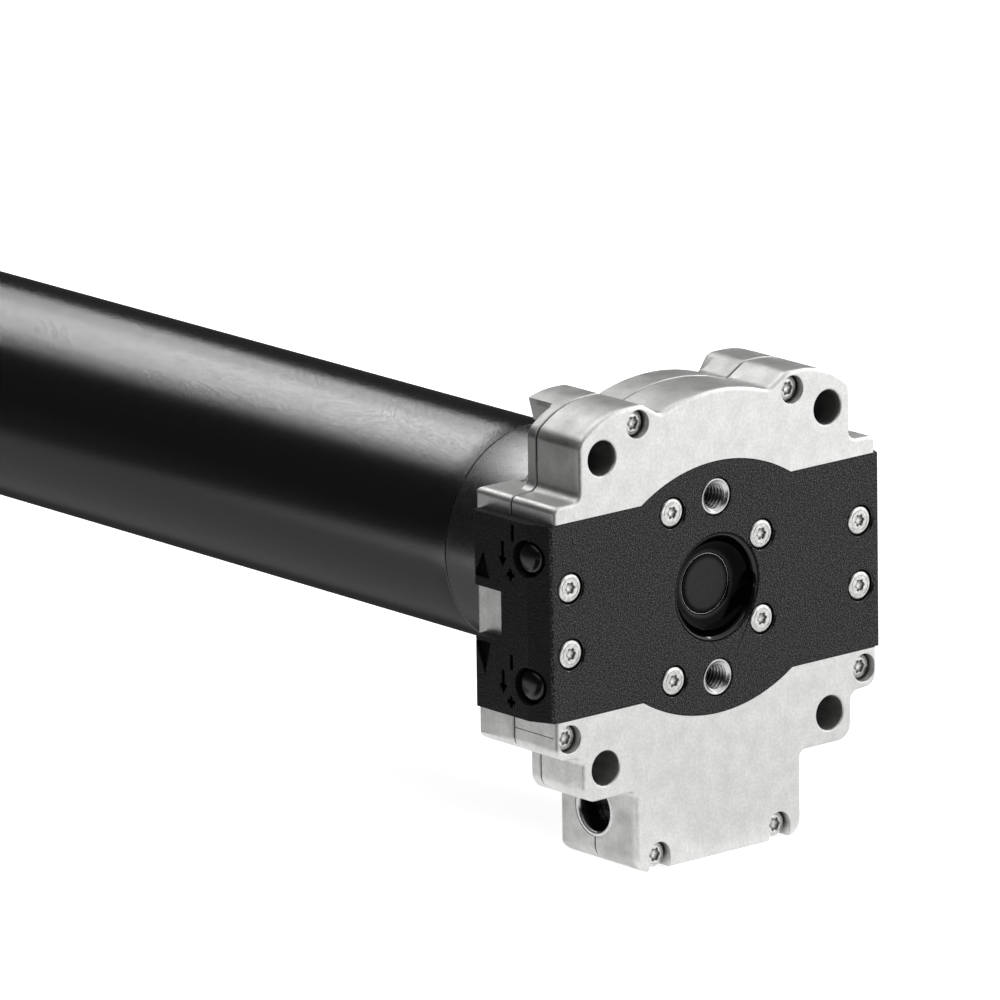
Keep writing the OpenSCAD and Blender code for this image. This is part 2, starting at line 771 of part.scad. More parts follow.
// Limit-setting screw with a domed head and a worm, on the upper or, with side -1, the lower place
module limit_screw(side) {
    outer = cover_half_w + cover_bulge;
    color([0.1, 0.1, 0.11]) {
        translate([-outer + 1.6, limit_y, side * limit_z]) rotate([0, -90, 0]) {
            translate([0, 0, -1.8]) cylinder(h = 2, r = knob_r);
            cylinder(h = 1, r1 = knob_r, r2 = knob_r - 1);
        }
        rod_x(-outer + 1, cam_x - trim_worm_half_len - 0.5, limit_shaft_r, limit_y, side * limit_z);
        rod_x(cam_x - trim_worm_half_len - 0.6, cam_x + trim_worm_half_len,
            trim_worm_r - root_share * crown_module, limit_y, side * limit_z);
        translate([cam_x, limit_y, side * limit_z])
            worm_thread(crown_module, trim_worm_r, trim_worm_half_len - 1, side * -90);
    }
}

module trim_wheel(side) {
    color([0.85, 0.85, 0.8]) translate([cam_x, 0, side * cam_z])
        leaning_wheel(limit_y - trim_t / 2, limit_y + trim_t / 2, crown_module, trim_teeth,
            side * 90 + 180 / trim_teeth, trim_worm_r, cam_pin_r + run_gap);
}

// Cam disc with one notch, and the gear that the crown turns
module cam_wheel(side) {
    dir = atan2(side * cam_z, cam_x - transfer_x);
    color([0.8, 0.25, 0.15]) translate([cam_x, 0, side * cam_z]) {
        slab(cam_y0, cam_y0 + cam_disc_t) difference() {
            circle(r = cam_tip_r - 0.2);
            circle(r = cam_pin_r + run_gap);
            rotate(side * 70) translate([cam_tip_r + 0.6, 0]) circle(r = 1.6);
        }
        spur(cam_y0 + cam_disc_t, cam_end, crown_module, cam_teeth,
            mesh_phase(0, cam_pinion_teeth, cam_teeth, dir), cam_pin_r + run_gap);
    }
}

module transfer_shaft() {
    color([0.65, 0.65, 0.66]) {
        rod(wall_y - 1.2, head_depth - 0.9, arbor_r, transfer_x);
        translate([transfer_x, 0, 0])
            spur(cam_y0 + cam_disc_t + 0.1, cam_end, crown_module, cam_pinion_teeth, 0, arbor_r - 0.3);
    }
}

module transfer_gear() {
    color([0.88, 0.88, 0.84]) translate([transfer_x, 0, 0])
        spur(crown_y0, crown_y0 + crown_t, crown_module, transfer_teeth,
            mesh_phase(0, crown_teeth, transfer_teeth, 180), arbor_r);
}

module crown_gear() {
    color([0.88, 0.88, 0.84])
        spur(crown_y0, crown_y0 + crown_t, crown_module, crown_teeth, 0, crown_neck_r - 0.8);
}

module crown_ring() {
    color([0.28, 0.28, 0.29]) {
        ring(crown_y0 + crown_t, crown_y + 1, crown_neck_r, hub_neck_r + run_gap);
        ring(crown_y0, crown_y0 + crown_t + 0.5, crown_neck_r - 0.8, hub_neck_r + run_gap);
        ring(crown_y, crown_y + crown_flange_t, tube_r, hub_neck_r + run_gap);
        ring(crown_y + crown_flange_t, crown_y + crown_len, tube_r, tube_r - crown_shell);
    }
}

module drive_hub() {
    color([0.62, 0.62, 0.63]) difference() {
        union() {
            rod(wall_y + 0.4, bush_end + 0.5, journal_r);
            rod(bush_end + 0.3, bearing_y, journal_r);
            rod(bearing_y, pinion_y0 + pinion_t, hub_r);
            rod(pinion_y0 + pinion_t, crown_y + crown_flange_t + 0.4, hub_neck_r);
            rod(crown_y + crown_flange_t + pass_gap, tube_y, sleeve_r);
            rod(tube_y - pass_gap, tube_y + spigot_len, tube_in);
        }
        rod(bush_end, tube_y + spigot_len + over, 5);
        rod(crown_y + 8, tube_y + spigot_len + over, tube_in - 6);
    }
}

module main_gear() {
    color([0.72, 0.72, 0.7])
        spur(pinion_y0, pinion_y0 + pinion_t, drive_module, main_teeth,
            mesh_phase(0, pinion_teeth, main_teeth, 90), hub_r);
}

module slip_ring_drum() {
    color([0.25, 0.14, 0.08]) ring(bush_end + 0.2, drum_end, drum_r, journal_r);
}

module slip_rings() {
    color([0.8, 0.65, 0.3])
        for (i = [-1, 0, 1]) ring(brush_y(i) - 0.4, brush_y(i) + 0.4, ring_r, drum_r);
}

module motor_tube() {
    color([0.07, 0.07, 0.08]) ring(tube_y, flange_end, tube_r, tube_in);
}

module capacitor() {
    color([0.85, 0.85, 0.86]) {
        rod(cap_y, cap_y + cap_len, cap_r);
        for (s = [-1, 1]) rod(cap_y + cap_len, cap_y + cap_len + 8, 1.5, s * 5);
    }
}

// Two plastic rings that hold the capacitor in the tube
module capacitor_cradle() {
    color([0.15, 0.15, 0.16])
        for (y = [cap_y + 4, cap_y + cap_len - cradle_len - 4]) ring(y, y + cradle_len, tube_in, cap_r);
}

// End shield of the motor, with a seat for a bearing that opens towards the core
module shield(y0, seat_y) {
    difference() {
        rod(y0, y0 + shield_t, tube_in);
        rod(seat_y, seat_y + bearing_len, ball_r);
        rod(y0 - over, y0 + shield_t + over, shaft_r + 1);
        for (a = [45 : 90 : 315])
            rotate([0, a, 0]) rod(y0 - over, y0 + shield_t + over, vent_r, tube_in - 6);
    }
}

module front_shield() {
    color([0.72, 0.72, 0.72]) shield(front_shield_y, front_shield_y + shield_t - bearing_len);
}

module rear_shield() {
    color([0.72, 0.72, 0.72]) shield(rear_shield_y, rear_shield_y);
}

module motor_bearings() {
    color([0.6, 0.6, 0.62])
        for (y = [front_shield_y + shield_t - bearing_len, rear_shield_y])
            ring(y, y + bearing_len, ball_r, shaft_r + run_gap);
}

// Twelve winding slots of the stator, thinner by gap on each side
module slots(gap) {
    for (a = [0 : 30 : 330])
        rotate(a) translate([rotor_r + 2 + gap, -1.9 + gap])
            square([tube_in - rotor_r - 7 - 2 * gap, 3.8 - 2 * gap]);
}

module stator_core() {
    color([0.45, 0.45, 0.47]) slab(core_y, core_y + core_len) difference() {
        circle(r = tube_in);
        circle(r = rotor_r + pass_gap);
        slots(0);
        for (a = [0 : 30 : 330]) rotate(a) translate([rotor_r - over, -0.9]) square([4, 1.8]);
    }
}

module stator_winding() {
    color([0.72, 0.35, 0.15]) {
        slab(core_y - over, core_y + core_len + over) slots(0.15);
        for (y = [core_y - end_turn, core_y + core_len])
            ring(y + 0.3, y + end_turn - 0.3, tube_in - 2, rotor_r + 2.5);
    }
}

module rotor_core() {
    color([0.5, 0.5, 0.52]) ring(core_y, core_y + core_len, rotor_r, shaft_r);
}

module rotor_shaft() {
    color([0.66, 0.66, 0.67]) {
        rod(front_shield_y + 1, stage_y[0] - 2, shaft_r);
        rod(stage_y[0] - 2.5, stage_y[0] + stage_len[0], sun_bore_r);
    }
}

module brake_magnet() {
    color([0.2, 0.2, 0.22]) difference() {
        rod(brake_y, brake_y + magnet_len, tube_in);
        rod(brake_y - over, brake_y + magnet_len + over, shaft_r + 1.5);
    }
}

module brake_armature() {
    color([0.5, 0.5, 0.5])
        ring(disc_y - pass_gap - armature_t, disc_y - pass_gap, tube_in - 4, shaft_r + 1.5);
}

module brake_disc() {
    color([0.3, 0.24, 0.2]) ring(disc_y, disc_y + disc_t, tube_in - 5, shaft_r);
}

module gearbox_ring() {
    hole = gear_points(planet_module, ring_teeth, ring_phase(), -backlash, root_share, tip_share);
    color([0.5, 0.5, 0.52]) slab(gearbox_y, gearbox_end) difference() {
        circle(r = tube_in);
        polygon(hole);
    }
}

// Phase of the planet at the angle turn, in mesh with a sun that has a tooth at angle 0
function planet_phase(turn) = mesh_phase(0, sun_teeth, planet_teeth, turn);

// Phase of the ring's tooth spaces, in mesh with the first planet
function ring_phase() =
    planet_turn[0] + (planet_phase(planet_turn[0]) - planet_turn[0]) * planet_teeth / ring_teeth;

module sun(stage) {
    spur(stage_y[stage], stage_y[stage] + stage_len[stage], planet_module, sun_teeth, 0, sun_bore_r);
}

module sun_gear_1() {
    color([0.7, 0.7, 0.7]) sun(0);
}

module planet(stage, turn) {
    color([0.75, 0.62, 0.35])
        translate((sun_r + planet_r) * [cos(turn), 0, sin(turn)])
            spur(stage_y[stage] + 0.3, stage_y[stage] + stage_len[stage], planet_module, planet_teeth,
                planet_phase(turn), planet_pin_r + run_gap);
}

// Plate behind a stage with a pin for each planet
module carrier(stage) {
    y0 = stage_y[stage] + stage_len[stage] + 0.5;
    rod(y0, y0 + plate_t, sun_r + planet_r + planet_pin_r + 2);
    for (turn = planet_turn)
        rod(stage_y[stage] + 0.3, y0 + over, planet_pin_r,
            (sun_r + planet_r) * cos(turn), (sun_r + planet_r) * sin(turn));
}

// Carrier with the sun of the next stage
module carrier_with_sun(stage) {
    y0 = stage_y[stage] + stage_len[stage] + 0.5;
    carrier(stage);
    slab(y0 + plate_t - 0.1, stage_y[stage + 1] + stage_len[stage + 1])
        polygon(gear_points(planet_module, sun_teeth, 0, backlash));
}

module carrier_1() {
    color([0.6, 0.6, 0.6]) carrier_with_sun(0);
}

module carrier_2() {
    color([0.6, 0.6, 0.6]) carrier_with_sun(1);
}

module output_shaft() {
    color([0.68, 0.68, 0.69]) difference() {
        union() {
            carrier(2);
            rod(stage_y[2] + stage_len[2] + plate_t, flange_end + cap_rim, output_journal_r);
            rod(flange_end, output_end, output_r);
        }
        rod(output_end - output_thread_len, output_end + over, output_thread_r);
    }
}

module end_flange() {
    color([0.16, 0.16, 0.17]) difference() {
        union() {
            rod(flange_y, flange_end, tube_in);
            rod(flange_end, flange_end + cap_rim, tube_r);
        }
        rod(flange_y - over, flange_end + cap_rim + over, output_bearing_r);
    }
}

module output_bearing() {
    color([0.75, 0.62, 0.35])
        ring(flange_y, flange_end + cap_rim, output_bearing_r, output_journal_r + run_gap);
}

front_casing();
rear_casing();
front_cover();
cover_screws();
casing_screws();
threaded_inserts();
front_bush();
crank_bush();
worm_end_bearing();
hub_bearing();
cam_pins();
limit_switches();
brush_block();
cable_inlet();
crank_worm();
lay_shaft();
worm_wheel();
limit_screw(1);  // limit_screw_up
limit_screw(-1);  // limit_screw_down
trim_wheel(1);  // trim_wheel_up
trim_wheel(-1);  // trim_wheel_down
cam_wheel(1);  // cam_wheel_up
cam_wheel(-1);  // cam_wheel_down
transfer_shaft();
transfer_gear();
crown_ring();
crown_gear();
drive_hub();
main_gear();
slip_ring_drum();
slip_rings();
motor_tube();
capacitor();
capacitor_cradle();
front_shield();
rear_shield();
motor_bearings();
stator_core();
stator_winding();
brake_magnet();
gearbox_ring();
end_flange();
output_bearing();
brake_armature();
rotor_core();
rotor_shaft();
brake_disc();
sun_gear_1();
planet(0, planet_turn[0]);  // planet_1_a
planet(0, planet_turn[1]);  // planet_1_b
planet(0, planet_turn[2]);  // planet_1_c
carrier_1();
planet(1, planet_turn[0]);  // planet_2_a
planet(1, planet_turn[1]);  // planet_2_b
planet(1, planet_turn[2]);  // planet_2_c
carrier_2();
planet(2, planet_turn[0]);  // planet_3_a
planet(2, planet_turn[1]);  // planet_3_b
planet(2, planet_turn[2]);  // planet_3_c
output_shaft();
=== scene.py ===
import math

import bmesh
import bpy
import numpy as np
from mathutils import Matrix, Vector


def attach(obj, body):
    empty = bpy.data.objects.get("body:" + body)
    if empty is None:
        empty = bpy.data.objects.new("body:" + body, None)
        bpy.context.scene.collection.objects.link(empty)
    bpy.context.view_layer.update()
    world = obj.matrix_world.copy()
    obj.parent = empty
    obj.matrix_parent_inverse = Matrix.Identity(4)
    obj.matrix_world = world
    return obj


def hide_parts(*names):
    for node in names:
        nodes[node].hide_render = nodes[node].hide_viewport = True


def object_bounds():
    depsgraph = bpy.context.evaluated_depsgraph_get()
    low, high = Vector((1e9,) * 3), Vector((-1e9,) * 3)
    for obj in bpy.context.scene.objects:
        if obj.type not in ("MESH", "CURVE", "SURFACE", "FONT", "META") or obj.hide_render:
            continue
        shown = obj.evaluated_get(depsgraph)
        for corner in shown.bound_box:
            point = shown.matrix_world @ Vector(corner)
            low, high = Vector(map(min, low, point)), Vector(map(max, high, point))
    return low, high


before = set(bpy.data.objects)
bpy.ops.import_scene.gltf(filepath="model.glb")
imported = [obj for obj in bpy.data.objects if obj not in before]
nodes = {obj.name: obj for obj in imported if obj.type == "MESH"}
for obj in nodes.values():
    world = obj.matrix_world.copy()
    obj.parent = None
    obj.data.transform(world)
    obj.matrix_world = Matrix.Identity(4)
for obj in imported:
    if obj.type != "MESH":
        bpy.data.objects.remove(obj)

cadBox = [list(corner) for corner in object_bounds()]
mm = 0.001  # every size below is in millimetres until it reaches a mesh
fullTurn = 2 * math.pi
print("frame loaded:", len(nodes), "solids")


# Grid of faces: face (i, j) joins the places (i, j), (i + 1, j), (i + 1, j + 1) and (i, j + 1)
def gridFaces(rows, columns, first):
    i, j = np.meshgrid(np.arange(rows - 1), np.arange(columns - 1), indexing="ij")
    corner = first + (i * columns + j).ravel()
    return np.stack([corner, corner + columns, corner + columns + 1, corner + 1], axis=1)


# The mesh with its doubles merged, its faces turned outwards and each flat area made one face, as asked
def cleaned(mesh, merge=0.0, outwards=False, flatAngle=0.0):
    work = bmesh.new()
    work.from_mesh(mesh)
    if merge:
        bmesh.ops.remove_doubles(work, verts=work.verts, dist=merge)
    if outwards:
        bmesh.ops.recalc_face_normals(work, faces=work.faces)
    if flatAngle:
        bmesh.ops.dissolve_limit(work, angle_limit=math.radians(flatAngle), verts=work.verts, edges=work.edges)
    work.to_mesh(mesh)
    work.free()
    return mesh


# The mesh's vertices as an array of places, in mm
def placesOf(mesh):
    places = np.empty(len(mesh.vertices) * 3)
    mesh.vertices.foreach_get("co", places)
    return places.reshape(-1, 3) / mm


# One mesh from several grids of places, with its seams and poles closed and its faces outwards
def meshFromGrids(name, grids, sharpAngle=38):
    places = np.concatenate([grid.reshape(-1, 3) for grid in grids]) * mm
    faces, first = [], 0
    for grid in grids:
        faces.append(gridFaces(grid.shape[0], grid.shape[1], first))
        first += grid.shape[0] * grid.shape[1]
    mesh = bpy.data.meshes.new(name)
    mesh.from_pydata(places, [], np.concatenate(faces).tolist())
    cleaned(mesh, merge=2e-6, outwards=True)
    mesh.shade_smooth()
    mesh.set_sharp_from_angle(angle=math.radians(sharpAngle))
    return mesh


# Object at the origin for a mesh, a lamp or a camera
def newObject(name, data):
    made = bpy.data.objects.new(name, data)
    bpy.context.scene.collection.objects.link(made)
    return made


# Piece that carries a mesh and a finish, rides on a body and stands for CAD solids
def addPiece(name, mesh, finish, body, replaced=()):
    piece = newObject(name, mesh)
    mesh.materials.clear()
    mesh.materials.append(finish)
    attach(piece, body)
    if replaced:
        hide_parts(*replaced)
    return piece


# Turned surface: the profile (radius, along) goes round an axis, radius r(a) = radius (1 + lobes cos 6a)
def turned(profile, centre=(0, 0, 0), axis="y", columns=96, start=0.0):
    profile = np.array([(p[0], p[1], p[2] if len(p) > 2 else 0.0) for p in profile], dtype=float)
    angle = np.linspace(0, fullTurn, columns + 1) + start
    angle[-1] = angle[0]
    radius = profile[:, :1] * (1 + profile[:, 2:] * np.cos(6 * angle))
    along = np.repeat(profile[:, 1:2], columns + 1, axis=1)
    across, up = radius * np.cos(angle), radius * np.sin(angle)
    grid = np.stack([across, along, up] if axis == "y" else [along, across, up], axis=2)
    return grid + np.array(centre)


# Arc of radius r from the angle a0 to a1 about (radius, along), as profile points
def arc(radius, along, r, a0, a1, steps=5):
    a = np.radians(np.linspace(a0, a1, steps + 1))
    return [tuple(p) for p in np.stack([radius + r * np.cos(a), along + r * np.sin(a)], axis=1)]


# Flat-sided bar: an outline of (first, second) places pushed from low to high along one axis
def prism(outline, low, high, axis):
    flat = np.array(outline, dtype=float)
    count = len(flat)
    ends = []
    for value in (low, high):
        column = np.full((count, 1), float(value))
        if axis == "x":
            ends.append(np.hstack([column, flat]))
        else:
            ends.append(np.hstack([flat[:, :1], column, flat[:, 1:]]))
    places = np.concatenate(ends) * mm
    ring = np.arange(count)
    after = (ring + 1) % count
    sides = np.stack([ring, after, after + count, ring + count], axis=1).tolist()
    caps = [ring[::-1].tolist(), (ring + count).tolist()]
    mesh = bpy.data.meshes.new("cutter")
    mesh.from_pydata(places, [], sides + caps)
    return cleaned(mesh, outwards=True)


# Merged copy of a CAD solid's mesh, less the cutters. Where its edges are to be rounded by a Bevel, each of
# its flat areas becomes one face.
def mergedCopy(node, cutters=(), solver="MANIFOLD", flatAreas=False):
    mesh = cleaned(nodes[node].data.copy(), merge=1e-6)
    while mesh.uv_layers:
        mesh.uv_layers.remove(mesh.uv_layers[0])
    if "custom_normal" in mesh.attributes:
        mesh.attributes.remove(mesh.attributes["custom_normal"])
    if cutters:
        base = newObject("carved", mesh)
        tools = [newObject("cutter", cutter) for cutter in cutters]
        for tool in tools:
            cut = base.modifiers.new("cut", "BOOLEAN")
            cut.operation, cut.solver, cut.object = "DIFFERENCE", solver, tool
        graph = bpy.context.evaluated_depsgraph_get()
        mesh = bpy.data.meshes.new_from_object(base.evaluated_get(graph))
        for spare in [base] + tools:
            bpy.data.objects.remove(spare)
    return cleaned(mesh, merge=1e-6, flatAngle=0.3) if flatAreas else mesh


# Marks how deep in a recess each place of a piece lies, from 0 to 1, where its finish turns dark with painted
# shade.
# depthOf takes the places, in mm, as an array and gives their depths; over 1 the dark starts nearer the mouth.
def markCavities(piece, depthOf):
    cavity = piece.data.attributes.new("cavity", "FLOAT", "POINT")
    cavity.data.foreach_set("value", depthOf(placesOf(piece.data)).astype(np.float32))
    return piece


# Rounds a mesh's edges with a Bevel: each edge's weight is its radius over the widest radius.
# radiusOf takes the edges' middles, directions and angles as arrays and gives their radii.
def roundEdges(piece, radiusOf, segments=3, sharpAngle=35):
    mesh = piece.data
    work = bmesh.new()
    work.from_mesh(mesh)
    work.edges.ensure_lookup_table()
    angle = np.array([math.degrees(e.calc_face_angle(0.0)) for e in work.edges])
    work.free()
    places = placesOf(mesh)
    ends = np.empty(len(mesh.edges) * 2, dtype=int)
    mesh.edges.foreach_get("vertices", ends)
    first, last = places[ends[0::2]], places[ends[1::2]]
    radius = np.where(angle > sharpAngle, radiusOf((first + last) / 2, last - first, angle), 0.0)
    widest = radius.max()
    weights = mesh.attributes.new("bevel_weight_edge", "FLOAT", "EDGE")
    weights.data.foreach_set("value", (radius / widest).astype(np.float32))
    mesh.shade_smooth()
    mesh.set_sharp_from_angle(angle=math.radians(sharpAngle))
    bevel = piece.modifiers.new("rounded edges", "BEVEL")
    bevel.limit_method, bevel.width, bevel.segments = "WEIGHT", widest * mm, segments
    bevel.use_clamp_overlap, bevel.harden_normals = False, True
    return piece


# Material whose shader sockets hold the given plain values
def newFinish(name, values):
    material = bpy.data.materials.new(name)
    material.use_nodes = True
    shader = material.node_tree.nodes["Principled BSDF"]
    for socket, value in values.items():
        shader.inputs[socket].default_value = (*value, 1.0) if isinstance(value, tuple) else value
    return material


# Places on the piece itself, stretched along x, y and z
def placesOn(tree, stretch=(1, 1, 1)):
    source = tree.nodes.new("ShaderNodeTexCoord")
    mapping = tree.nodes.new("ShaderNodeMapping")
    mapping.inputs["Scale"].default_value = stretch
    tree.links.new(source.outputs["Object"], mapping.inputs["Vector"])
    return mapping.outputs["Vector"]


# Value carried in a straight line from one range to another, and held at its ends
def spread(tree, value, source, target=(0.0, 1.0)):
    node = tree.nodes.new("ShaderNodeMapRange")
    for socket, bound in zip(("From Min", "From Max", "To Min", "To Max"), (*source, *target)):
        node.inputs[socket].default_value = bound
    tree.links.new(value, node.inputs["Value"])
    return node.outputs["Result"]


# Cloudy value between low and high: noise of the given grain size, in mm, widened by contrast
def cloud(tree, grain, low, high, detail=3.0, contrast=1.0, stretch=(1, 1, 1)):
    noise = tree.nodes.new("ShaderNodeTexNoise")
    noise.inputs["Scale"].default_value = 1 / (grain * mm)
    noise.inputs["Detail"].default_value = detail
    tree.links.new(placesOn(tree, stretch), noise.inputs["Vector"])
    half = 0.25 / contrast
    return spread(tree, noise.outputs["Fac"], (0.5 - half, 0.5 + half), (low, high))


# Share that grows from 0 to 1 between two places, in mm, along an axis
def growing(tree, axis, low, high):
    parts = tree.nodes.new("ShaderNodeSeparateXYZ")
    tree.links.new(placesOn(tree), parts.inputs[0])
    return spread(tree, parts.outputs[axis], (low * mm, high * mm))


# Colour that goes from the first, a plain colour or another node's, to a plain one by a share from 0 to 1
def mixColours(tree, share, first, second):
    mix = tree.nodes.new("ShaderNodeMix")
    mix.data_type = "RGBA"
    sockets = {s.name + s.type: s for s in mix.inputs}
    if isinstance(first, tuple):
        sockets["ARGBA"].default_value = (*first, 1.0)
    else:
        tree.links.new(first, sockets["ARGBA"])
    sockets["BRGBA"].default_value = (*second, 1.0)
    tree.links.new(share, sockets["FactorVALUE"])
    return [s for s in mix.outputs if s.type == "RGBA"][0]


# Relief: the shader's normal leans with the slope of height, depth mm deep
def relief(tree, height, depth, strength, under=None):
    bump = tree.nodes.new("ShaderNodeBump")
    bump.inputs["Strength"].default_value = strength
    bump.inputs["Distance"].default_value = depth * mm
    tree.links.new(height, bump.inputs["Height"])
    if under:
        tree.links.new(under, bump.inputs["Normal"])
    return bump.outputs["Normal"]


# Sum, product or other maths of two values, each a socket or a number
def maths(tree, operation, first, second=0.0):
    node = tree.nodes.new("ShaderNodeMath")
    node.operation = operation
    for socket, value in zip(node.inputs, (first, second)):
        if isinstance(value, (int, float)):
            socket.default_value = value
        else:
            tree.links.new(value, socket)
    return node.outputs[0]


# painted shade: the colour that recesses turn to
deepShade = (0.001, 0.001, 0.001)  # colour at the bottom of a recess


# Finish with patches of two colours, uneven gloss and a grainy relief, from one dictionary of values. Colour
# and shine fade by the share of the attribute named cavity, a painted shade in recesses: value = value (1 - fade
# * cavity).
# Specks, which on the cover's front are painted glints, and a mottled painted shade over the upper and lower
# parts behind the front face lie over the patches where the look has them, in shares from 0 to 1.
def grainyFinish(name, look):
    finish = newFinish(name, {"Metallic": look["metal"], "IOR": look.get("ior", 1.5)})
    tree = finish.node_tree
    shader = tree.nodes["Principled BSDF"]
    stretch = look.get("stretch", (1, 1, 1))
    hollow = tree.nodes.new("ShaderNodeAttribute")
    hollow.attribute_name = "cavity"
    depth = maths(tree, "MINIMUM", hollow.outputs["Fac"], 1.0)
    left = maths(tree, "SUBTRACT", 1.0, maths(tree, "MULTIPLY", depth, look.get("fade", 0.9)))
    shine = maths(tree, "MULTIPLY", left, look.get("specular", 0.5))
    tree.links.new(shine, shader.inputs["Specular IOR Level"])
    patches = cloud(tree, look["patch"], 0.0, 1.0, 4.0, look.get("contrast", 1.0), stretch)
    colour = mixColours(tree, patches, look["dark"], look["light"])
    # specks: real darker grains on the casting; on the cover's front, light specks that are painted glints
    if "speck" in look:
        speckAndGlints = cloud(tree, look["speckGrain"], look.get("speckFloor", 0.0), 1.0, 1.0, look["speckContrast"])
        speckAndGlints = maths(tree, "MAXIMUM", speckAndGlints, 0.0)
        # painted glints kept to the front face
        if "speckBefore" in look:
            speckAndGlints = maths(tree, "MULTIPLY", speckAndGlints,
                           maths(tree, "SUBTRACT", 1.0, growing(tree, "Y", *look["speckBefore"])))
        colour = mixColours(tree, maths(tree, "MULTIPLY", speckAndGlints, look["speckShare"]), colour, look["speck"])
    # painted shade: the upper and lower parts, behind the front face, made darker and mottled
    if "stain" in look:
        paintedShades = maths(tree, "MAXIMUM", *[growing(tree, "Z", *band) for band in look["stainBands"]])
        paintedShades = maths(tree, "MULTIPLY", paintedShades, growing(tree, "Y", *look["stainBehind"]))
        paintedShades = maths(tree, "MULTIPLY", paintedShades, cloud(tree, look["stainPatch"], 0.3, 1.0, 3.0, 0.8))
        colour = mixColours(tree, maths(tree, "MULTIPLY", paintedShades, look["stainShare"]), colour, look["stain"])
    # painted shade in recesses: the colour turns to deepShade by the cavity share, and the shine drops with it
    colour = mixColours(tree, maths(tree, "SUBTRACT", 1.0, left), colour, deepShade)
    tree.links.new(colour, shader.inputs["Base Color"])
    gloss = cloud(tree, look["patch"] * 0.7, look["rough"][0], look["rough"][1], 3.0, 1.0, stretch)
    tree.links.new(gloss, shader.inputs["Roughness"])
    grain = cloud(tree, look["grain"], 0.0, 1.0, 1.5, 1.0, look.get("grainStretch", (1, 1, 1)))
    normal = relief(tree, grain, look["depth"], look["strength"])
    if "wave" in look:
        broad = cloud(tree, look["wave"], 0.0, 1.0, 2.0)
        normal = relief(tree, broad, look["waveDepth"], 1.0, normal)
    tree.links.new(normal, shader.inputs["Normal"])
    return finish


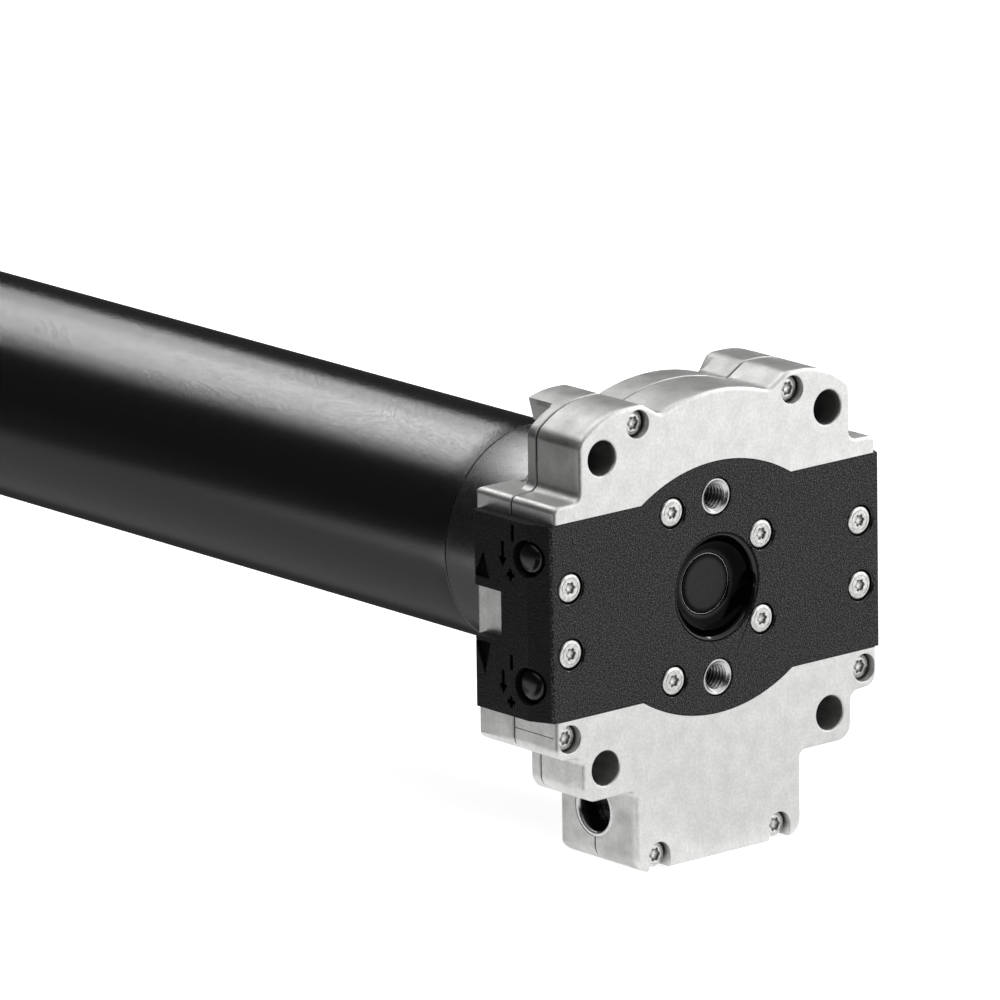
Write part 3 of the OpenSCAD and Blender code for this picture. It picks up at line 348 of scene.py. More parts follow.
looks = {
    "dieCast": {"metal": 1.0, "dark": (0.7, 0.7, 0.69), "light": (0.8, 0.8, 0.79), "patch": 5.0,
                "contrast": 1.3, "rough": (0.42, 0.54), "grain": 0.5, "depth": 0.03, "strength": 0.3,
                "wave": 7.0, "waveDepth": 0.05, "fade": 0.97,
                "speck": (0.5, 0.5, 0.49), "speckGrain": 0.9, "speckContrast": 2.4, "speckShare": 0.25,
                # painted shade: darker and mottled over the upper and lower parts behind the front face
                "stain": (0.34, 0.34, 0.33), "stainShare": 0.75, "stainPatch": 6.0,
                "stainBands": ((29, 36), (-48, -58)), "stainBehind": (0.9, 2.5)},
    "coverBlack": {"metal": 0.0, "dark": (0.003, 0.003, 0.003), "light": (0.007, 0.007, 0.007), "patch": 1.2,
                   "contrast": 1.5, "rough": (0.42, 0.55), "grain": 0.42, "depth": 0.3, "strength": 1.0,
                   # light specks on the front face only: painted glints
                   "speck": (0.42, 0.42, 0.42), "speckGrain": 0.38, "speckContrast": 2.6, "speckShare": 0.24,
                   "speckFloor": -1.0, "speckBefore": (0.5, 1.0), "fade": 1.0, "specular": 0.24},
    "brightZinc": {"metal": 1.0, "dark": (0.52, 0.52, 0.51), "light": (0.8, 0.8, 0.78), "patch": 0.9,
                   "contrast": 1.6, "rough": (0.24, 0.36), "grain": 0.3, "depth": 0.01, "strength": 0.4},
    "turnedSteel": {"metal": 1.0, "dark": (0.5, 0.5, 0.5), "light": (0.66, 0.66, 0.66), "patch": 2.0,
                    "rough": (0.24, 0.34), "grain": 0.2, "depth": 0.01, "strength": 0.4},
    "bronze": {"metal": 1.0, "dark": (0.48, 0.3, 0.14), "light": (0.62, 0.42, 0.2), "patch": 2.0,
               "rough": (0.3, 0.42), "grain": 0.3, "depth": 0.01, "strength": 0.4},
    "brass": {"metal": 1.0, "dark": (0.66, 0.5, 0.22), "light": (0.78, 0.62, 0.3), "patch": 2.0,
              "rough": (0.22, 0.34), "grain": 0.3, "depth": 0.01, "strength": 0.4},
    "glossBlack": {"metal": 0.0, "dark": (0.003, 0.003, 0.003), "light": (0.006, 0.006, 0.006), "patch": 3.0,
                   "specular": 0.4, "rough": (0.1, 0.16), "grain": 1.0, "depth": 0.005, "strength": 0.3},
    "lipBlack": {"metal": 0.0, "dark": (0.002, 0.002, 0.002), "light": (0.004, 0.004, 0.004), "patch": 3.0,
                 "specular": 0.6, "rough": (0.16, 0.2), "grain": 1.0, "depth": 0.005, "strength": 0.3},
    "darkPlastic": {"metal": 0.0, "dark": (0.008, 0.008, 0.008), "light": (0.016, 0.016, 0.016), "patch": 1.5,
                    "specular": 0.28, "rough": (0.4, 0.52), "grain": 0.3, "depth": 0.03, "strength": 0.4},
    "knobBlack": {"metal": 0.0, "dark": (0.003, 0.003, 0.003), "light": (0.007, 0.007, 0.007), "patch": 2.0,
                  "rough": (0.16, 0.24), "grain": 0.5, "depth": 0.008, "strength": 0.3, "specular": 0.4},
    "gearPlastic": {"metal": 0.0, "dark": (0.6, 0.59, 0.53), "light": (0.74, 0.73, 0.67), "patch": 3.0,
                    "rough": (0.36, 0.46), "grain": 0.4, "depth": 0.02, "strength": 0.3},
    "camRed": {"metal": 0.0, "dark": (0.42, 0.05, 0.03), "light": (0.55, 0.08, 0.05), "patch": 2.0,
               "rough": (0.34, 0.44), "grain": 0.4, "depth": 0.02, "strength": 0.3},
    "phenolic": {"metal": 0.0, "dark": (0.05, 0.022, 0.012), "light": (0.11, 0.05, 0.026), "patch": 1.0,
                 "rough": (0.4, 0.52), "grain": 0.3, "depth": 0.02, "strength": 0.3, "stretch": (1, 4, 1)},
    "crownSatin": {"metal": 0.0, "dark": (0.003, 0.003, 0.003), "light": (0.007, 0.007, 0.007), "patch": 3.0,
                   "rough": (0.24, 0.29), "ior": 2.5, "grain": 0.5, "depth": 0.01, "strength": 0.12},
    "hubAlloy": {"metal": 1.0, "dark": (0.5, 0.5, 0.51), "light": (0.66, 0.66, 0.67), "patch": 3.0,
                 "rough": (0.3, 0.42), "grain": 0.3, "depth": 0.015, "strength": 0.4},
    "tubePaint": {"metal": 0.0, "dark": (0.002, 0.002, 0.002), "light": (0.005, 0.005, 0.005), "patch": 1.0,
                  "contrast": 1.5, "rough": (0.18, 0.24), "grain": 0.5, "depth": 0.045, "strength": 0.6,
                  "ior": 2.0},
    "canAlloy": {"metal": 1.0, "dark": (0.72, 0.72, 0.73), "light": (0.82, 0.82, 0.83), "patch": 4.0,
                 "rough": (0.26, 0.36), "grain": 0.3, "depth": 0.01, "strength": 0.3,
                 "grainStretch": (1, 12, 1)},
    "laminations": {"metal": 1.0, "dark": (0.2, 0.2, 0.21), "light": (0.42, 0.42, 0.44), "patch": 1.0,
                    "rough": (0.38, 0.5), "grain": 0.5, "depth": 0.03, "strength": 0.6,
                    "stretch": (0.1, 3, 0.1), "grainStretch": (0.05, 1, 0.05)},
    "copperWire": {"metal": 1.0, "dark": (0.5, 0.2, 0.08), "light": (0.76, 0.36, 0.18), "patch": 0.6,
                   "rough": (0.25, 0.4), "grain": 0.6, "depth": 0.1, "strength": 0.7,
                   "stretch": (2, 0.2, 2), "grainStretch": (1, 0.1, 1)},
    "friction": {"metal": 0.0, "dark": (0.04, 0.034, 0.03), "light": (0.1, 0.085, 0.07), "patch": 0.8,
                 "contrast": 2.0, "rough": (0.6, 0.75), "grain": 0.4, "depth": 0.05, "strength": 0.6},
}
finishes = {name: grainyFinish(name, look) for name, look in looks.items()}
slotFinish = {
    "die_cast": "dieCast", "cover_black": "coverBlack", "zinc_screws": "brightZinc", "steel": "turnedSteel",
    "bronze": "bronze", "brass": "brass", "gloss_black": "glossBlack", "dark_plastic": "darkPlastic",
    "knob_black": "knobBlack", "gear_plastic": "gearPlastic", "cam_red": "camRed", "phenolic": "phenolic",
    "crown_satin": "crownSatin", "hub_alloy": "hubAlloy", "tube_paint": "tubePaint", "can": "canAlloy",
    "laminations": "laminations", "winding": "copperWire", "friction": "friction",
}
for node in nodes.values():
    for place in node.material_slots:
        place.material = finishes[slotFinish[place.material.name.split(".")[0]]]
print("finishes made:", len(finishes))


casting = {"domeRadius": 52.2, "domeEdge": 17.2, "lobeTop": 52.6, "lobeLow": 49.2, "sideHalf": 46.0,
           "stepHalf": 54.7, "stepTop": 30.6, "stepLow": 36.3, "blockHalf": 28.1, "blockLow": 71.5,
           "rearHalf": 37.0, "seam": 17.0, "flangeEnd": 20.7, "domeEnd": 27.0, "rearEnd": 31.0,
           "blockEnd": 30.5, "rimRadius": 1.0, "seamRadius": 0.5, "flangeRadius": 0.8, "rearRadius": 1.3,
           "valleyRun": 1.2, "lobeInner": 24.6, "shoulderRun": 9.4, "shoulderDrop": 6.45, "shoulderEnd": 34,
           "slitLow": -30.35, "slitHigh": -30.1, "slitStart": 1.3, "slitDepth": 0.35,
           "slotDepth": 0.9, "slotHalf": 0.18}
corners = {"valley": 3, "lobe": 5, "shoulder": 25, "side": 4.5, "inner": 2.5, "stepTop": 1.8, "stepLow": 3.5,
           "blockTop": 2, "blockLow": 4.5}
lug = {"inner": 20.0, "under": 47.0, "heel": 28.0, "lean": 1.4, "end": 30.5, "foot": 45.2, "hair": 0.03,
       "edge": 0.5}
fixingHole = {"radius": 4.6, "mouth": 0.55, "x": 38.4, "z": 40.9, "dark": 1.05}
screwPocket = {"radius": 3.7, "mouth": 0.25, "dark": 0.75}
casingScrewPlaces = [(s * x, z) for s in (-1, 1) for x, z in ((26.3, 47.7), (50.4, -31.0), (20.6, -67.8))]
arcStep, arcSag = 9, 0.02  # an arc's widest step in degrees and its largest sag in mm, as in the solids


# Outline with rounded corners: each corner (x, z, r) becomes an arc of radius r that touches both its sides
def roundedOutline(corners):
    points = []
    for k, (x, z, r) in enumerate(corners):
        corner = np.array((x, z))
        u = np.array(corners[k - 1][:2]) - corner
        v = np.array(corners[(k + 1) % len(corners)][:2]) - corner
        u, v = u / np.linalg.norm(u), v / np.linalg.norm(v)
        half = math.acos(u @ v) / 2
        middle = corner + (u + v) / np.linalg.norm(u + v) * r / math.sin(half)
        start, stop = corner + u * r / math.tan(half) - middle, corner + v * r / math.tan(half) - middle
        a0 = math.atan2(start[1], start[0])
        sweep = (math.atan2(stop[1], stop[0]) - a0 + math.pi) % fullTurn - math.pi
        widest = min(arcStep, 2 * math.degrees(math.acos(1 - arcSag / r)))
        count = max(3, math.ceil(abs(math.degrees(sweep)) / widest - 1e-6))
        a = a0 + sweep * np.arange(count + 1) / count
        points.append(middle + r * np.stack([np.cos(a), np.sin(a)], axis=1))
    return np.concatenate(points)


# Outline of both castings, clockwise from the top of the dome, its right half mirrored to the left. The dome's
# two last points go, for the valleys' arcs begin before them.
def headOutline():
    dome, side, step, block = (casting[k] for k in ("domeRadius", "sideHalf", "stepHalf", "blockHalf"))
    top, low = casting["lobeTop"], casting["lobeLow"]
    turn = math.asin(casting["domeEdge"] / dome)
    run = casting["valleyRun"]
    valley = (dome * math.sin(turn) + run * math.cos(turn), dome * math.cos(turn) - run * math.sin(turn))
    right = [(*valley, corners["valley"]), (casting["lobeInner"], top, corners["lobe"]),
             (side - casting["shoulderRun"], top, corners["shoulder"]),
             (side, top - casting["shoulderDrop"], corners["side"]),
             (side, casting["stepTop"] + 0.2, corners["inner"]), (step, casting["stepTop"], corners["stepTop"]),
             (step, -casting["stepLow"], corners["stepLow"]),
             (side, -casting["stepLow"] - 0.5, corners["inner"]),
             (side, -low, corners["side"]), (block, -low, corners["blockTop"]),
             (block, -casting["blockLow"], corners["blockLow"])]
    left = [(-x, z, r) for x, z, r in reversed(right)]
    points = roundedOutline([(0, dome / math.cos(turn), dome)] + right + left)
    return points[(points[:, 1] < 0) | (np.abs(np.abs(points[:, 0]) - casting["domeEdge"]) > 0.01)]


# Cut-away corner as (inset, depth) places: a slot of the given depth and half width at the seam, then the spare
# metal outside an arc of radius r, at inset r (1 - sin t) and depth r (1 - cos t)
def cornerProfile(r, slot=None, spare=0.6, steps=6, hair=0.003):
    t = np.linspace(0, math.pi / 2, steps + 1)
    start = slot[1] if slot else 0.0
    inner = [(slot[0], -spare), (slot[0], start)] if slot else [(r, -spare)]
    curve = list(zip(r - (r + hair) * np.sin(t), start + r - (r + hair) * np.cos(t)))
    return np.array([(-spare, -spare)] + inner + curve + [(-spare, start + r)])


# Cutter that carries a cut-away corner along a path. The metal lies to the right of the path, and behind y if
# inward is 1, before it if inward is -1.
def pathCutter(path, profile, y, inward, closed=True):
    path = np.asarray(path, dtype=float)
    step = np.roll(path, -1, axis=0) - path
    if not closed:
        step[-1] = step[-2]
    step /= np.linalg.norm(step, axis=1)[:, None]
    inset = np.stack([step[:, 1], -step[:, 0]], axis=1)
    before = np.roll(inset, 1, axis=0)
    if not closed:
        before[0] = inset[0]
    inset = (inset + before) / (1 + (inset * before).sum(axis=1))[:, None]
    if closed:
        path, inset = np.vstack([path, path[:1]]), np.vstack([inset, inset[:1]])
    ring = np.vstack([profile, profile[:1]])
    flat = path[:, None] + inset[:, None] * ring[None, :, :1]
    depth = np.broadcast_to(y + inward * ring[None, :, 1], flat.shape[:2])
    grid = np.stack([flat[:, :, 0], depth, flat[:, :, 1]], axis=2)
    if closed:
        return [grid]
    return [grid] + [np.stack([end, np.broadcast_to(end[0], end.shape)]) for end in (grid[0], grid[-1])]


# Cutter that rounds the mouth of a round hole of radius R in the face y = 0: radius(t) = R + m (1 - sin t)
def mouthCutter(x, z, radius, m):
    t = np.linspace(0, math.pi / 2, 6)
    curve = list(zip(radius + m - (m - 0.003) * np.sin(t), m - m * np.cos(t)))
    profile = [(0, -0.5), (radius + m, -0.5)] + curve + [(radius - 0.4, m + 0.02), (0, m + 0.02)]
    return turned(profile, (x, 0, z), columns=48)


outline = headOutline()
size = casting
seamProfile = cornerProfile(size["seamRadius"], (size["slotDepth"], size["slotHalf"]))
rearProfile = cornerProfile(size["rearRadius"])
frontCutters = [pathCutter(outline, cornerProfile(size["rimRadius"]), 0, 1),
                pathCutter(outline, seamProfile, size["seam"], -1)]
fixingPlaces = [(s * fixingHole["x"], t * fixingHole["z"]) for s in (-1, 1) for t in (-1, 1)]
mouths = [mouthCutter(x, z, fixingHole["radius"], fixingHole["mouth"]) for x, z in fixingPlaces]
mouths += [mouthCutter(x, z, screwPocket["radius"], screwPocket["mouth"]) for x, z in casingScrewPlaces]
slitOutline = [(size["slitStart"], size["slitLow"]), (size["seam"] + 1, size["slitLow"]),
               (size["seam"] + 1, size["slitHigh"]), (size["slitStart"], size["slitHigh"])]
slit = prism(slitOutline, -size["stepHalf"] - 1, -size["stepHalf"] + size["slitDepth"], "x")

# The back edges of the rear half: over the dome, over each lobe's flange, and down the blocks' sides
topPath = outline[outline[:, 1] > size["stepTop"]]
topPath = topPath[np.argsort(np.arctan2(topPath[:, 0], topPath[:, 1]), kind="stable")]
dome = size["domeRadius"]
shoulderStart = math.degrees(math.acos(size["rearHalf"] / dome))
shoulderTurn = np.radians(np.linspace(shoulderStart, size["shoulderEnd"], 5))
shoulder = np.stack([dome * np.cos(shoulderTurn), dome * np.sin(shoulderTurn)], axis=1)
domeCrest = topPath[np.abs(topPath[:, 0]) < size["domeEdge"] + 1]
rightSide = np.vstack([[(size["rearHalf"], lug["foot"])], shoulder])
rearPaths = [domeCrest, rightSide, rightSide[::-1] * (-1, 1)]
rearCutters = [pathCutter(outline, seamProfile, size["seam"], 1)]
rearCutters += [pathCutter(path, rearProfile, size["domeEnd"], -1, closed=False) for path in rearPaths]
upperLobe = topPath[(topPath[:, 0] > size["rearHalf"] + 0.8) & (topPath[:, 0] < size["sideHalf"] + 0.1)]
lowerLobe = outline[(outline[:, 0] > size["blockHalf"] + 0.2) & (outline[:, 0] < size["sideHalf"] + 0.1)
                    & (outline[:, 1] < -size["stepLow"] - 2)]
lowerLobe = lowerLobe[np.argsort(-np.arctan2(lowerLobe[:, 1], lowerLobe[:, 0]))]
for lobe in (upperLobe, lowerLobe):
    for path in (lobe, lobe[::-1] * (-1, 1)):
        rearCutters.append(pathCutter(path, cornerProfile(size["flangeRadius"]), size["flangeEnd"], -1, False))
for half, low, high, end in (
        (size["stepHalf"], -size["stepLow"] + 1, size["stepTop"] - 1, size["rearEnd"]),
        (size["blockHalf"], -size["blockLow"] + 2, -size["stepLow"] - 1, size["blockEnd"])):
    right = np.array([(half, high), (half, low)])
    for path in (right, right[::-1] * (-1, 1)):
        rearCutters.append(pathCutter(path, rearProfile, end, -1, False))


# Smooth shading that keeps large flat areas flat: each corner's normal is weighed by its faces' areas
def weighNormals(piece, sharpAngle=35):
    piece.data.shade_smooth()
    piece.data.set_sharp_from_angle(angle=math.radians(sharpAngle))
    weighed = piece.modifiers.new("weighed normals", "WEIGHTED_NORMAL")
    weighed.keep_sharp = True
    return piece


# Depth of painted shade in the slot of the seam and in the round holes and pockets, whose walls turn dark towards
# their far ends
def holeDepth(places):
    depth = np.zeros(len(places))
    within = (places[:, 1] > 1.0) & (places[:, 1] < casting["flangeEnd"] + 0.03)
    for hole, centres in ((fixingHole, fixingPlaces), (screwPocket, casingScrewPlaces)):
        for x, z in centres:
            inside = np.hypot(places[:, 0] - x, places[:, 2] - z) < hole["radius"] + 0.03
            depth[inside & within] = hole["dark"]
    depth[np.abs(places[:, 1] - casting["seam"]) < casting["slotHalf"] + 0.02] = 1.0
    return depth


# Outline of the lug behind the right upper lobe, a hair under the lobe's top. Its outer side slants inwards
# below.
lobeCrest = topPath[(topPath[:, 0] > lug["inner"]) & (topPath[:, 0] < size["rearHalf"])] - (0, lug["hair"])
crossing = np.interp(size["rearHalf"], topPath[:, 0], topPath[:, 1]) - lug["hair"]
lugSide = size["rearHalf"] - lug["hair"]
lugOutline = np.vstack([[(lug["inner"], lug["under"])], lobeCrest, [
    (lugSide, crossing), (lugSide, crossing - 0.4), (lugSide - lug["lean"], lug["foot"]),
    (lug["heel"], lug["foot"])]])


# Radii of a lug's edges: rounded at its far end, sharp where it meets the flange and the dome
def lugRadius(middle, direction, angle):
    return np.where(middle[:, 1] > lug["end"] - 0.1, lug["edge"], 0.0)


frontCutters = [meshFromGrids("cutter", grids) for grids in frontCutters + [mouths]] + [slit]
frontMesh = mergedCopy("front_casing", frontCutters)
frontCasting = addPiece("frontCasting", frontMesh, finishes["dieCast"], "head", ["front_casing"])
weighNormals(markCavities(frontCasting, holeDepth))
rearMesh = mergedCopy("rear_casing", [meshFromGrids("cutter", grids) for grids in rearCutters])
rearCasting = addPiece("rearCasting", rearMesh, finishes["dieCast"], "head", ["rear_casing"])
weighNormals(markCavities(rearCasting, holeDepth))
for name, side in (("rearLugRight", 1), ("rearLugLeft", -1)):
    wedge = prism(lugOutline * (side, 1), size["flangeEnd"] - 0.1, lug["end"], "y")
    roundEdges(addPiece(name, wedge, finishes["dieCast"], "head"), lugRadius)
print("die-cast head made")


cover = {"side": -58.5, "signDepth": 0.9, "triangleDepth": 0.7, "lineWidth": 1.0, "innerHalf": 54.9,
         "edge": 0.25, "signsFrom": 7, "trianglesFrom": 20, "signDark": 1.6, "triangleDark": 0.8}
upTriangle = [(21.4, 8.7), (27.4, 8.7), (23.7, 15.9)]
downTriangle = [(21.4, -8.2), (27.4, -8.2), (23.6, -16.6)]


# Outline of an upright bar, of a plus and of an arrow that points down, in (y, z)
def barSign(y, low, high, width):
    return [(y - width / 2, low), (y + width / 2, low), (y + width / 2, high), (y - width / 2, high)]


def plusSign(y, z, reach, width):
    a, w = reach, width / 2
    corner = [(-a, -w), (-w, -w), (-w, -a), (w, -a), (w, -w), (a, -w),
              (a, w), (w, w), (w, a), (-w, a), (-w, w), (-a, w)]
    return [(y + p, z + q) for p, q in corner]


def arrowSign(y, tip, tail, width, headWidth, headLength):
    w, h = width / 2, headWidth / 2
    return [(y, tip), (y + h, tip + headLength), (y + w, tip + headLength), (y + w, tail), (y - w, tail),
            (y - w, tip + headLength), (y - h, tip + headLength)]


line = cover["lineWidth"]
signs = [
    barSign(12.1, 20.5, 24.8, line), arrowSign(16.1, 13.2, 19.8, line, 3.0, 2.4),
    plusSign(13.1, 11.4, 1.5, line), barSign(13.2, -13.7, -9.7, line),
    arrowSign(16.5, -20.4, -14.3, line, 3.0, 2.4), plusSign(13.5, -22.2, 1.5, line),
]
cutters = [prism(sign, cover["side"] - 1, cover["side"] + cover["signDepth"], "x") for sign in signs]
cutters += [prism(t, cover["side"] - 1, cover["side"] + cover["triangleDepth"], "x")
            for t in (upTriangle, downTriangle)]


# Radii of the cover's edges: small everywhere outside, none on its hidden inner edges
def coverRadius(middle, direction, angle):
    inner = (np.abs(middle[:, 0]) < cover["innerHalf"]) & (middle[:, 1] > 0.2)
    return np.where(inner, 0.0, cover["edge"])


# The sunk signs and triangles of the cover are dark at their bottoms with painted shade
def signDepth(places):
    bottoms = [cover["side"] + cover["signDepth"], cover["side"] + cover["triangleDepth"]]
    away = np.min([np.abs(places[:, 0] - x) for x in bottoms], axis=0)
    dark = np.where(places[:, 1] > cover["trianglesFrom"], cover["triangleDark"], cover["signDark"])
    return np.where((away < 0.02) & (places[:, 1] > cover["signsFrom"]), dark, 0.0)


coverMesh = mergedCopy("front_cover", cutters, "EXACT", True)
coverPiece = addPiece("frontCover", coverMesh, finishes["coverBlack"], "head", ["front_cover"])
roundEdges(markCavities(coverPiece, signDepth), coverRadius, 2)
print("cover made")


coverScrew = {"radius": 3.75, "face": 0.28, "back": 1.2, "shank": 1.6, "tip": 8.4, "star": 1.5, "lobes": 0.13}
casingScrew = {"radius": 3.5, "face": 1.9, "back": 4.5, "shank": 2.0, "tip": 23.9, "star": 1.65, "lobes": 0.13}
screwDark = {"star": 0.85, "groove": 0.6, "grooveAt": 0.705}
coverScrewPlaces = [(x, z) for x in (-49.4, 49.4) for z in (-8.7, 8.7)]
coverScrewPlaces += [(-14.8, z) for z in (-22.3, 22.3)] + [(15.5, z) for z in (-11.3, 11.3)]


# Profile of a screw from the bottom of its star recess, over the head and down the shank
def screwProfile(size, dome):
    r, face, star, lobes = size["radius"], size["face"], size["star"], size["lobes"]
    return [
        (0, face + 0.95), (star * 0.3, face + 0.9), (star * 0.72, face + 0.7, lobes),
        (star * 0.92, face + 0.66, lobes), (star, face + 0.1, lobes), (star * 1.06, face + 0.01, lobes * 0.9),
        (star * 1.25, face), (r * 0.68, face + dome * 0.1), (r * screwDark["grooveAt"], face + dome * 0.1 + 0.07),
        (r * 0.73, face + dome * 0.12), (r * 0.85, face + dome * 0.4), (r * 0.93, face + 0.06 + dome * 0.8),
        (r * 0.98, face + 0.2 + dome), (r, face + 0.4 + dome), (r, size["back"]), (size["shank"], size["back"]),
        (size["shank"], size["tip"] - 0.4), (size["shank"] * 0.7, size["tip"]), (0, size["tip"]),
    ]


# All the screws of one kind: the profile goes round each centre, each turned to its own angle
def screwGrids(size, places, dome):
    profile = screwProfile(size, dome)
    return [turned(profile, (x, 0, z), columns=72, start=0.37 * k) for k, (x, z) in enumerate(places)]


# Depth of painted shade in the star recesses and in the ring groove of all the screws of one kind
def starDepth(size, places, dome):
    def depthOf(points):
        away = np.min([np.hypot(points[:, 0] - x, points[:, 2] - z) for x, z in places], axis=0)
        below = points[:, 1] - size["face"]
        star = (away < size["star"] * 1.2) & (away > size["star"] * 0.5) & (below > 0.3)
        groove = np.abs(away - size["radius"] * screwDark["grooveAt"]) < 0.02
        return np.select([star, groove], [screwDark["star"], screwDark["groove"]], 0.0)
    return depthOf


for name, sizes, places, dome, node in (
        ("coverScrews", coverScrew, coverScrewPlaces, 0.12, "cover_screws"),
        ("casingScrews", casingScrew, casingScrewPlaces, 0.5, "casing_screws")):
    heads = meshFromGrids(name, screwGrids(sizes, places, dome), 30)
    markCavities(addPiece(name, heads, finishes["brightZinc"], "head", [node]),
                 starDepth(sizes, places, dome))

# Smooth moulded lips of the counterbores, a quarter round from the bore's wall to the cover's face
lipProfile = [(4.49, 1.15), (4.2, 1.15), (4.2, 0.55), (4.24, 0.38), (4.31, 0.24), (4.4, 0.13), (4.49, 0.06),
              (4.49, 1.15)]
lips = [turned(lipProfile, (x, 0, z), columns=48) for x, z in coverScrewPlaces]
addPiece("counterboreLips", meshFromGrids("counterboreLips", lips), finishes["lipBlack"], "head")

insert = {"centre": 24.0, "outer": 5.0, "core": 3.4, "pitch": 1.25, "depth": 0.62, "end": 11.0,
          "threadStart": 0.9, "threadEnd": 9.8, "threadRows": 86, "rim": 4.7}


# Threaded insert: the bore's radius is core + depth times a triangle wave of (y / pitch - a / turn)
def insertGrid(z):
    columns = 64
    a = np.linspace(0, fullTurn, columns + 1)
    start, stop = insert["threadStart"], insert["threadEnd"]
    y = np.linspace(stop, start, insert["threadRows"])
    phase = (y[:, None] / insert["pitch"] - a[None] / fullTurn) % 1.0
    wave = np.clip(np.abs(2 * phase - 1) * 1.35 - 0.12, 0, 1)
    fade = np.clip(np.minimum((stop - y) / 0.6, (y - start) / 0.5), 0, 1)[:, None]
    radius = insert["core"] + insert["depth"] * wave * fade
    inner = [(0, 10.0), (3.3, 10.0), (insert["core"], 9.9)]
    mouth = [(4.1, 0.5), (4.22, 0.3), (4.34, 0.22), (4.5, 0.2), (4.64, 0.24), (4.74, 0.4)]
    outer = [(insert["outer"], 0.5), (insert["outer"], insert["end"]), (0, insert["end"])]
    innerRings = np.repeat(np.array(inner)[:, :, None], columns + 1, 2)
    outerRings = np.repeat(np.array(mouth + outer)[:, :, None], columns + 1, 2)
    r = np.concatenate([innerRings[:, 0], radius, outerRings[:, 0]])
    along = np.concatenate([innerRings[:, 1], np.repeat(y[:, None], columns + 1, 1), outerRings[:, 1]])
    return np.stack([r * np.cos(a), along, z + r * np.sin(a)], axis=2)


# Painted shade: the thread's grooves are dark, and more so farther in, as is the insert's outer rim
def threadDepth(places):
    away = np.hypot(places[:, 0], np.abs(places[:, 2]) - insert["centre"])
    groove = np.clip((away - insert["core"]) / insert["depth"], 0, 1)
    inside = (places[:, 1] > 0.8) & (places[:, 1] < 10.5) & (away < insert["core"] + insert["depth"] + 0.05)
    rim = np.where(away > insert["rim"], 1.0, 0.0)
    return np.where(inside, np.clip(groove * 0.95 + places[:, 1] / 20, 0, 1), rim)


threads = meshFromGrids("threadedInserts", [insertGrid(z) for z in (insert["centre"], -insert["centre"])], 50)
insertPiece = addPiece("threadedInserts", threads, finishes["turnedSteel"], "head", ["threaded_inserts"])
markCavities(insertPiece, threadDepth)

bush = {"innerLip": 9.3, "outerLip": 13.2, "rim": 13.9}
bushProfile = [(8.06, 9.0), (8.06, 5.25)] + arc(8.7, 5.25, 0.64, 180, 250) + [
    (9.4, 4.5), (10.4, 4.2), (11.3, 3.75), (12.0, 3.1), (12.5, 2.3), (12.8, 1.5), (13.1, 0.95),
    (13.25, 0.8), (13.45, 0.54), (13.7, 0.34), (13.85, 0.27), (13.95, 0.24), (14.1, 0.22), (14.25, 0.3),
    (14.25, 9.0), (8.06, 9.0)]


# Painted shade: the bush's funnel is dark between its two lips, and half dark inside the inner one
def funnelDepth(places):
    away = np.hypot(places[:, 0], places[:, 2])
    regions = [away < bush["innerLip"], away < bush["outerLip"], away > bush["rim"]]
    return np.select(regions, [0.6, 1.0, 0.9], 0.0)


funnel = meshFromGrids("frontBush", [turned(bushProfile, columns=128)])
bushPiece = addPiece("frontBush", funnel, finishes["glossBlack"], "head", ["front_bush"])
markCavities(bushPiece, funnelDepth)

hubCap = {"darkFrom": 7.0, "dark": 0.9}
capProfile = [(0, 4.62), (6.2, 4.62), (7.3, 4.66), (7.75, 4.76), (7.9, 4.95), (7.9, 5.02), (0, 5.02)]


# Painted shade: the cap in the hub's end is dark at its rim
def rimDepth(places):
    return np.where(np.hypot(places[:, 0], places[:, 2]) > hubCap["darkFrom"], hubCap["dark"], 0.0)


cap = meshFromGrids("hubCap", [turned(capProfile, columns=96)])
markCavities(addPiece("hubCap", cap, finishes["darkPlastic"], "tube_unit"), rimDepth)

crank = {"y": 17.0, "z": -57.3, "mouth": -28.0, "darkRadius": 6.0}
crankProfile = [(5.56, -14.5), (5.56, -21.1), (5.8, -21.1), (5.8, -27.4), (6.25, -28.0), (6.45, -28.1),
                (6.95, -28.1), (7.3, -28.0), (7.4, -27.7), (7.4, -14.5), (5.56, -14.5)]


# Painted shade: the crank's bush is dark inside, from its mouth inwards
def crankDepth(places):
    away = np.hypot(places[:, 1] - crank["y"], places[:, 2] - crank["z"])
    return np.where(away < crank["darkRadius"], np.clip((places[:, 0] - crank["mouth"]) * 2, 0.2, 1.5), 0.0)


crankRing = meshFromGrids("crankBush", [turned(crankProfile, (0, crank["y"], crank["z"]), "x", 96)])
crankPiece = addPiece("crankBush", crankRing, finishes["turnedSteel"], "head", ["crank_bush"])
markCavities(crankPiece, crankDepth)

knob = {"y": 6.9, "z": 16.8}
knobProfile = [(0, -55.0), (4.2, -55.0), (4.2, -56.6), (4.12, -57.1), (3.85, -57.5), (3.3, -57.85),
               (2.4, -58.1), (1.2, -58.25), (0, -58.3)]
for name, body, z in (("limitKnobUp", "limit_up", knob["z"]), ("limitKnobDown", "limit_down", -knob["z"])):
    head = meshFromGrids(name, [turned(knobProfile, (0, knob["y"], z), "x", 72)])
    addPiece(name, head, finishes["knobBlack"], body)
print("screws, inserts, bushes and knobs made")


crown = {"radius": 29.5, "start": 31.3, "end": 73.3, "inside": 27.0, "floor": 33.3, "bore": 21.41,
         "neck": 24.0, "spigot": 23.2, "spigotStart": 26.9, "spigotEnd": 29.3, "edge": 0.5, "endEdge": 0.15}
tube = {"radius": 29.5, "inside": 28.0, "start": 73.6, "end": 559.4, "edge": 0.15, "endEdge": 0.4}


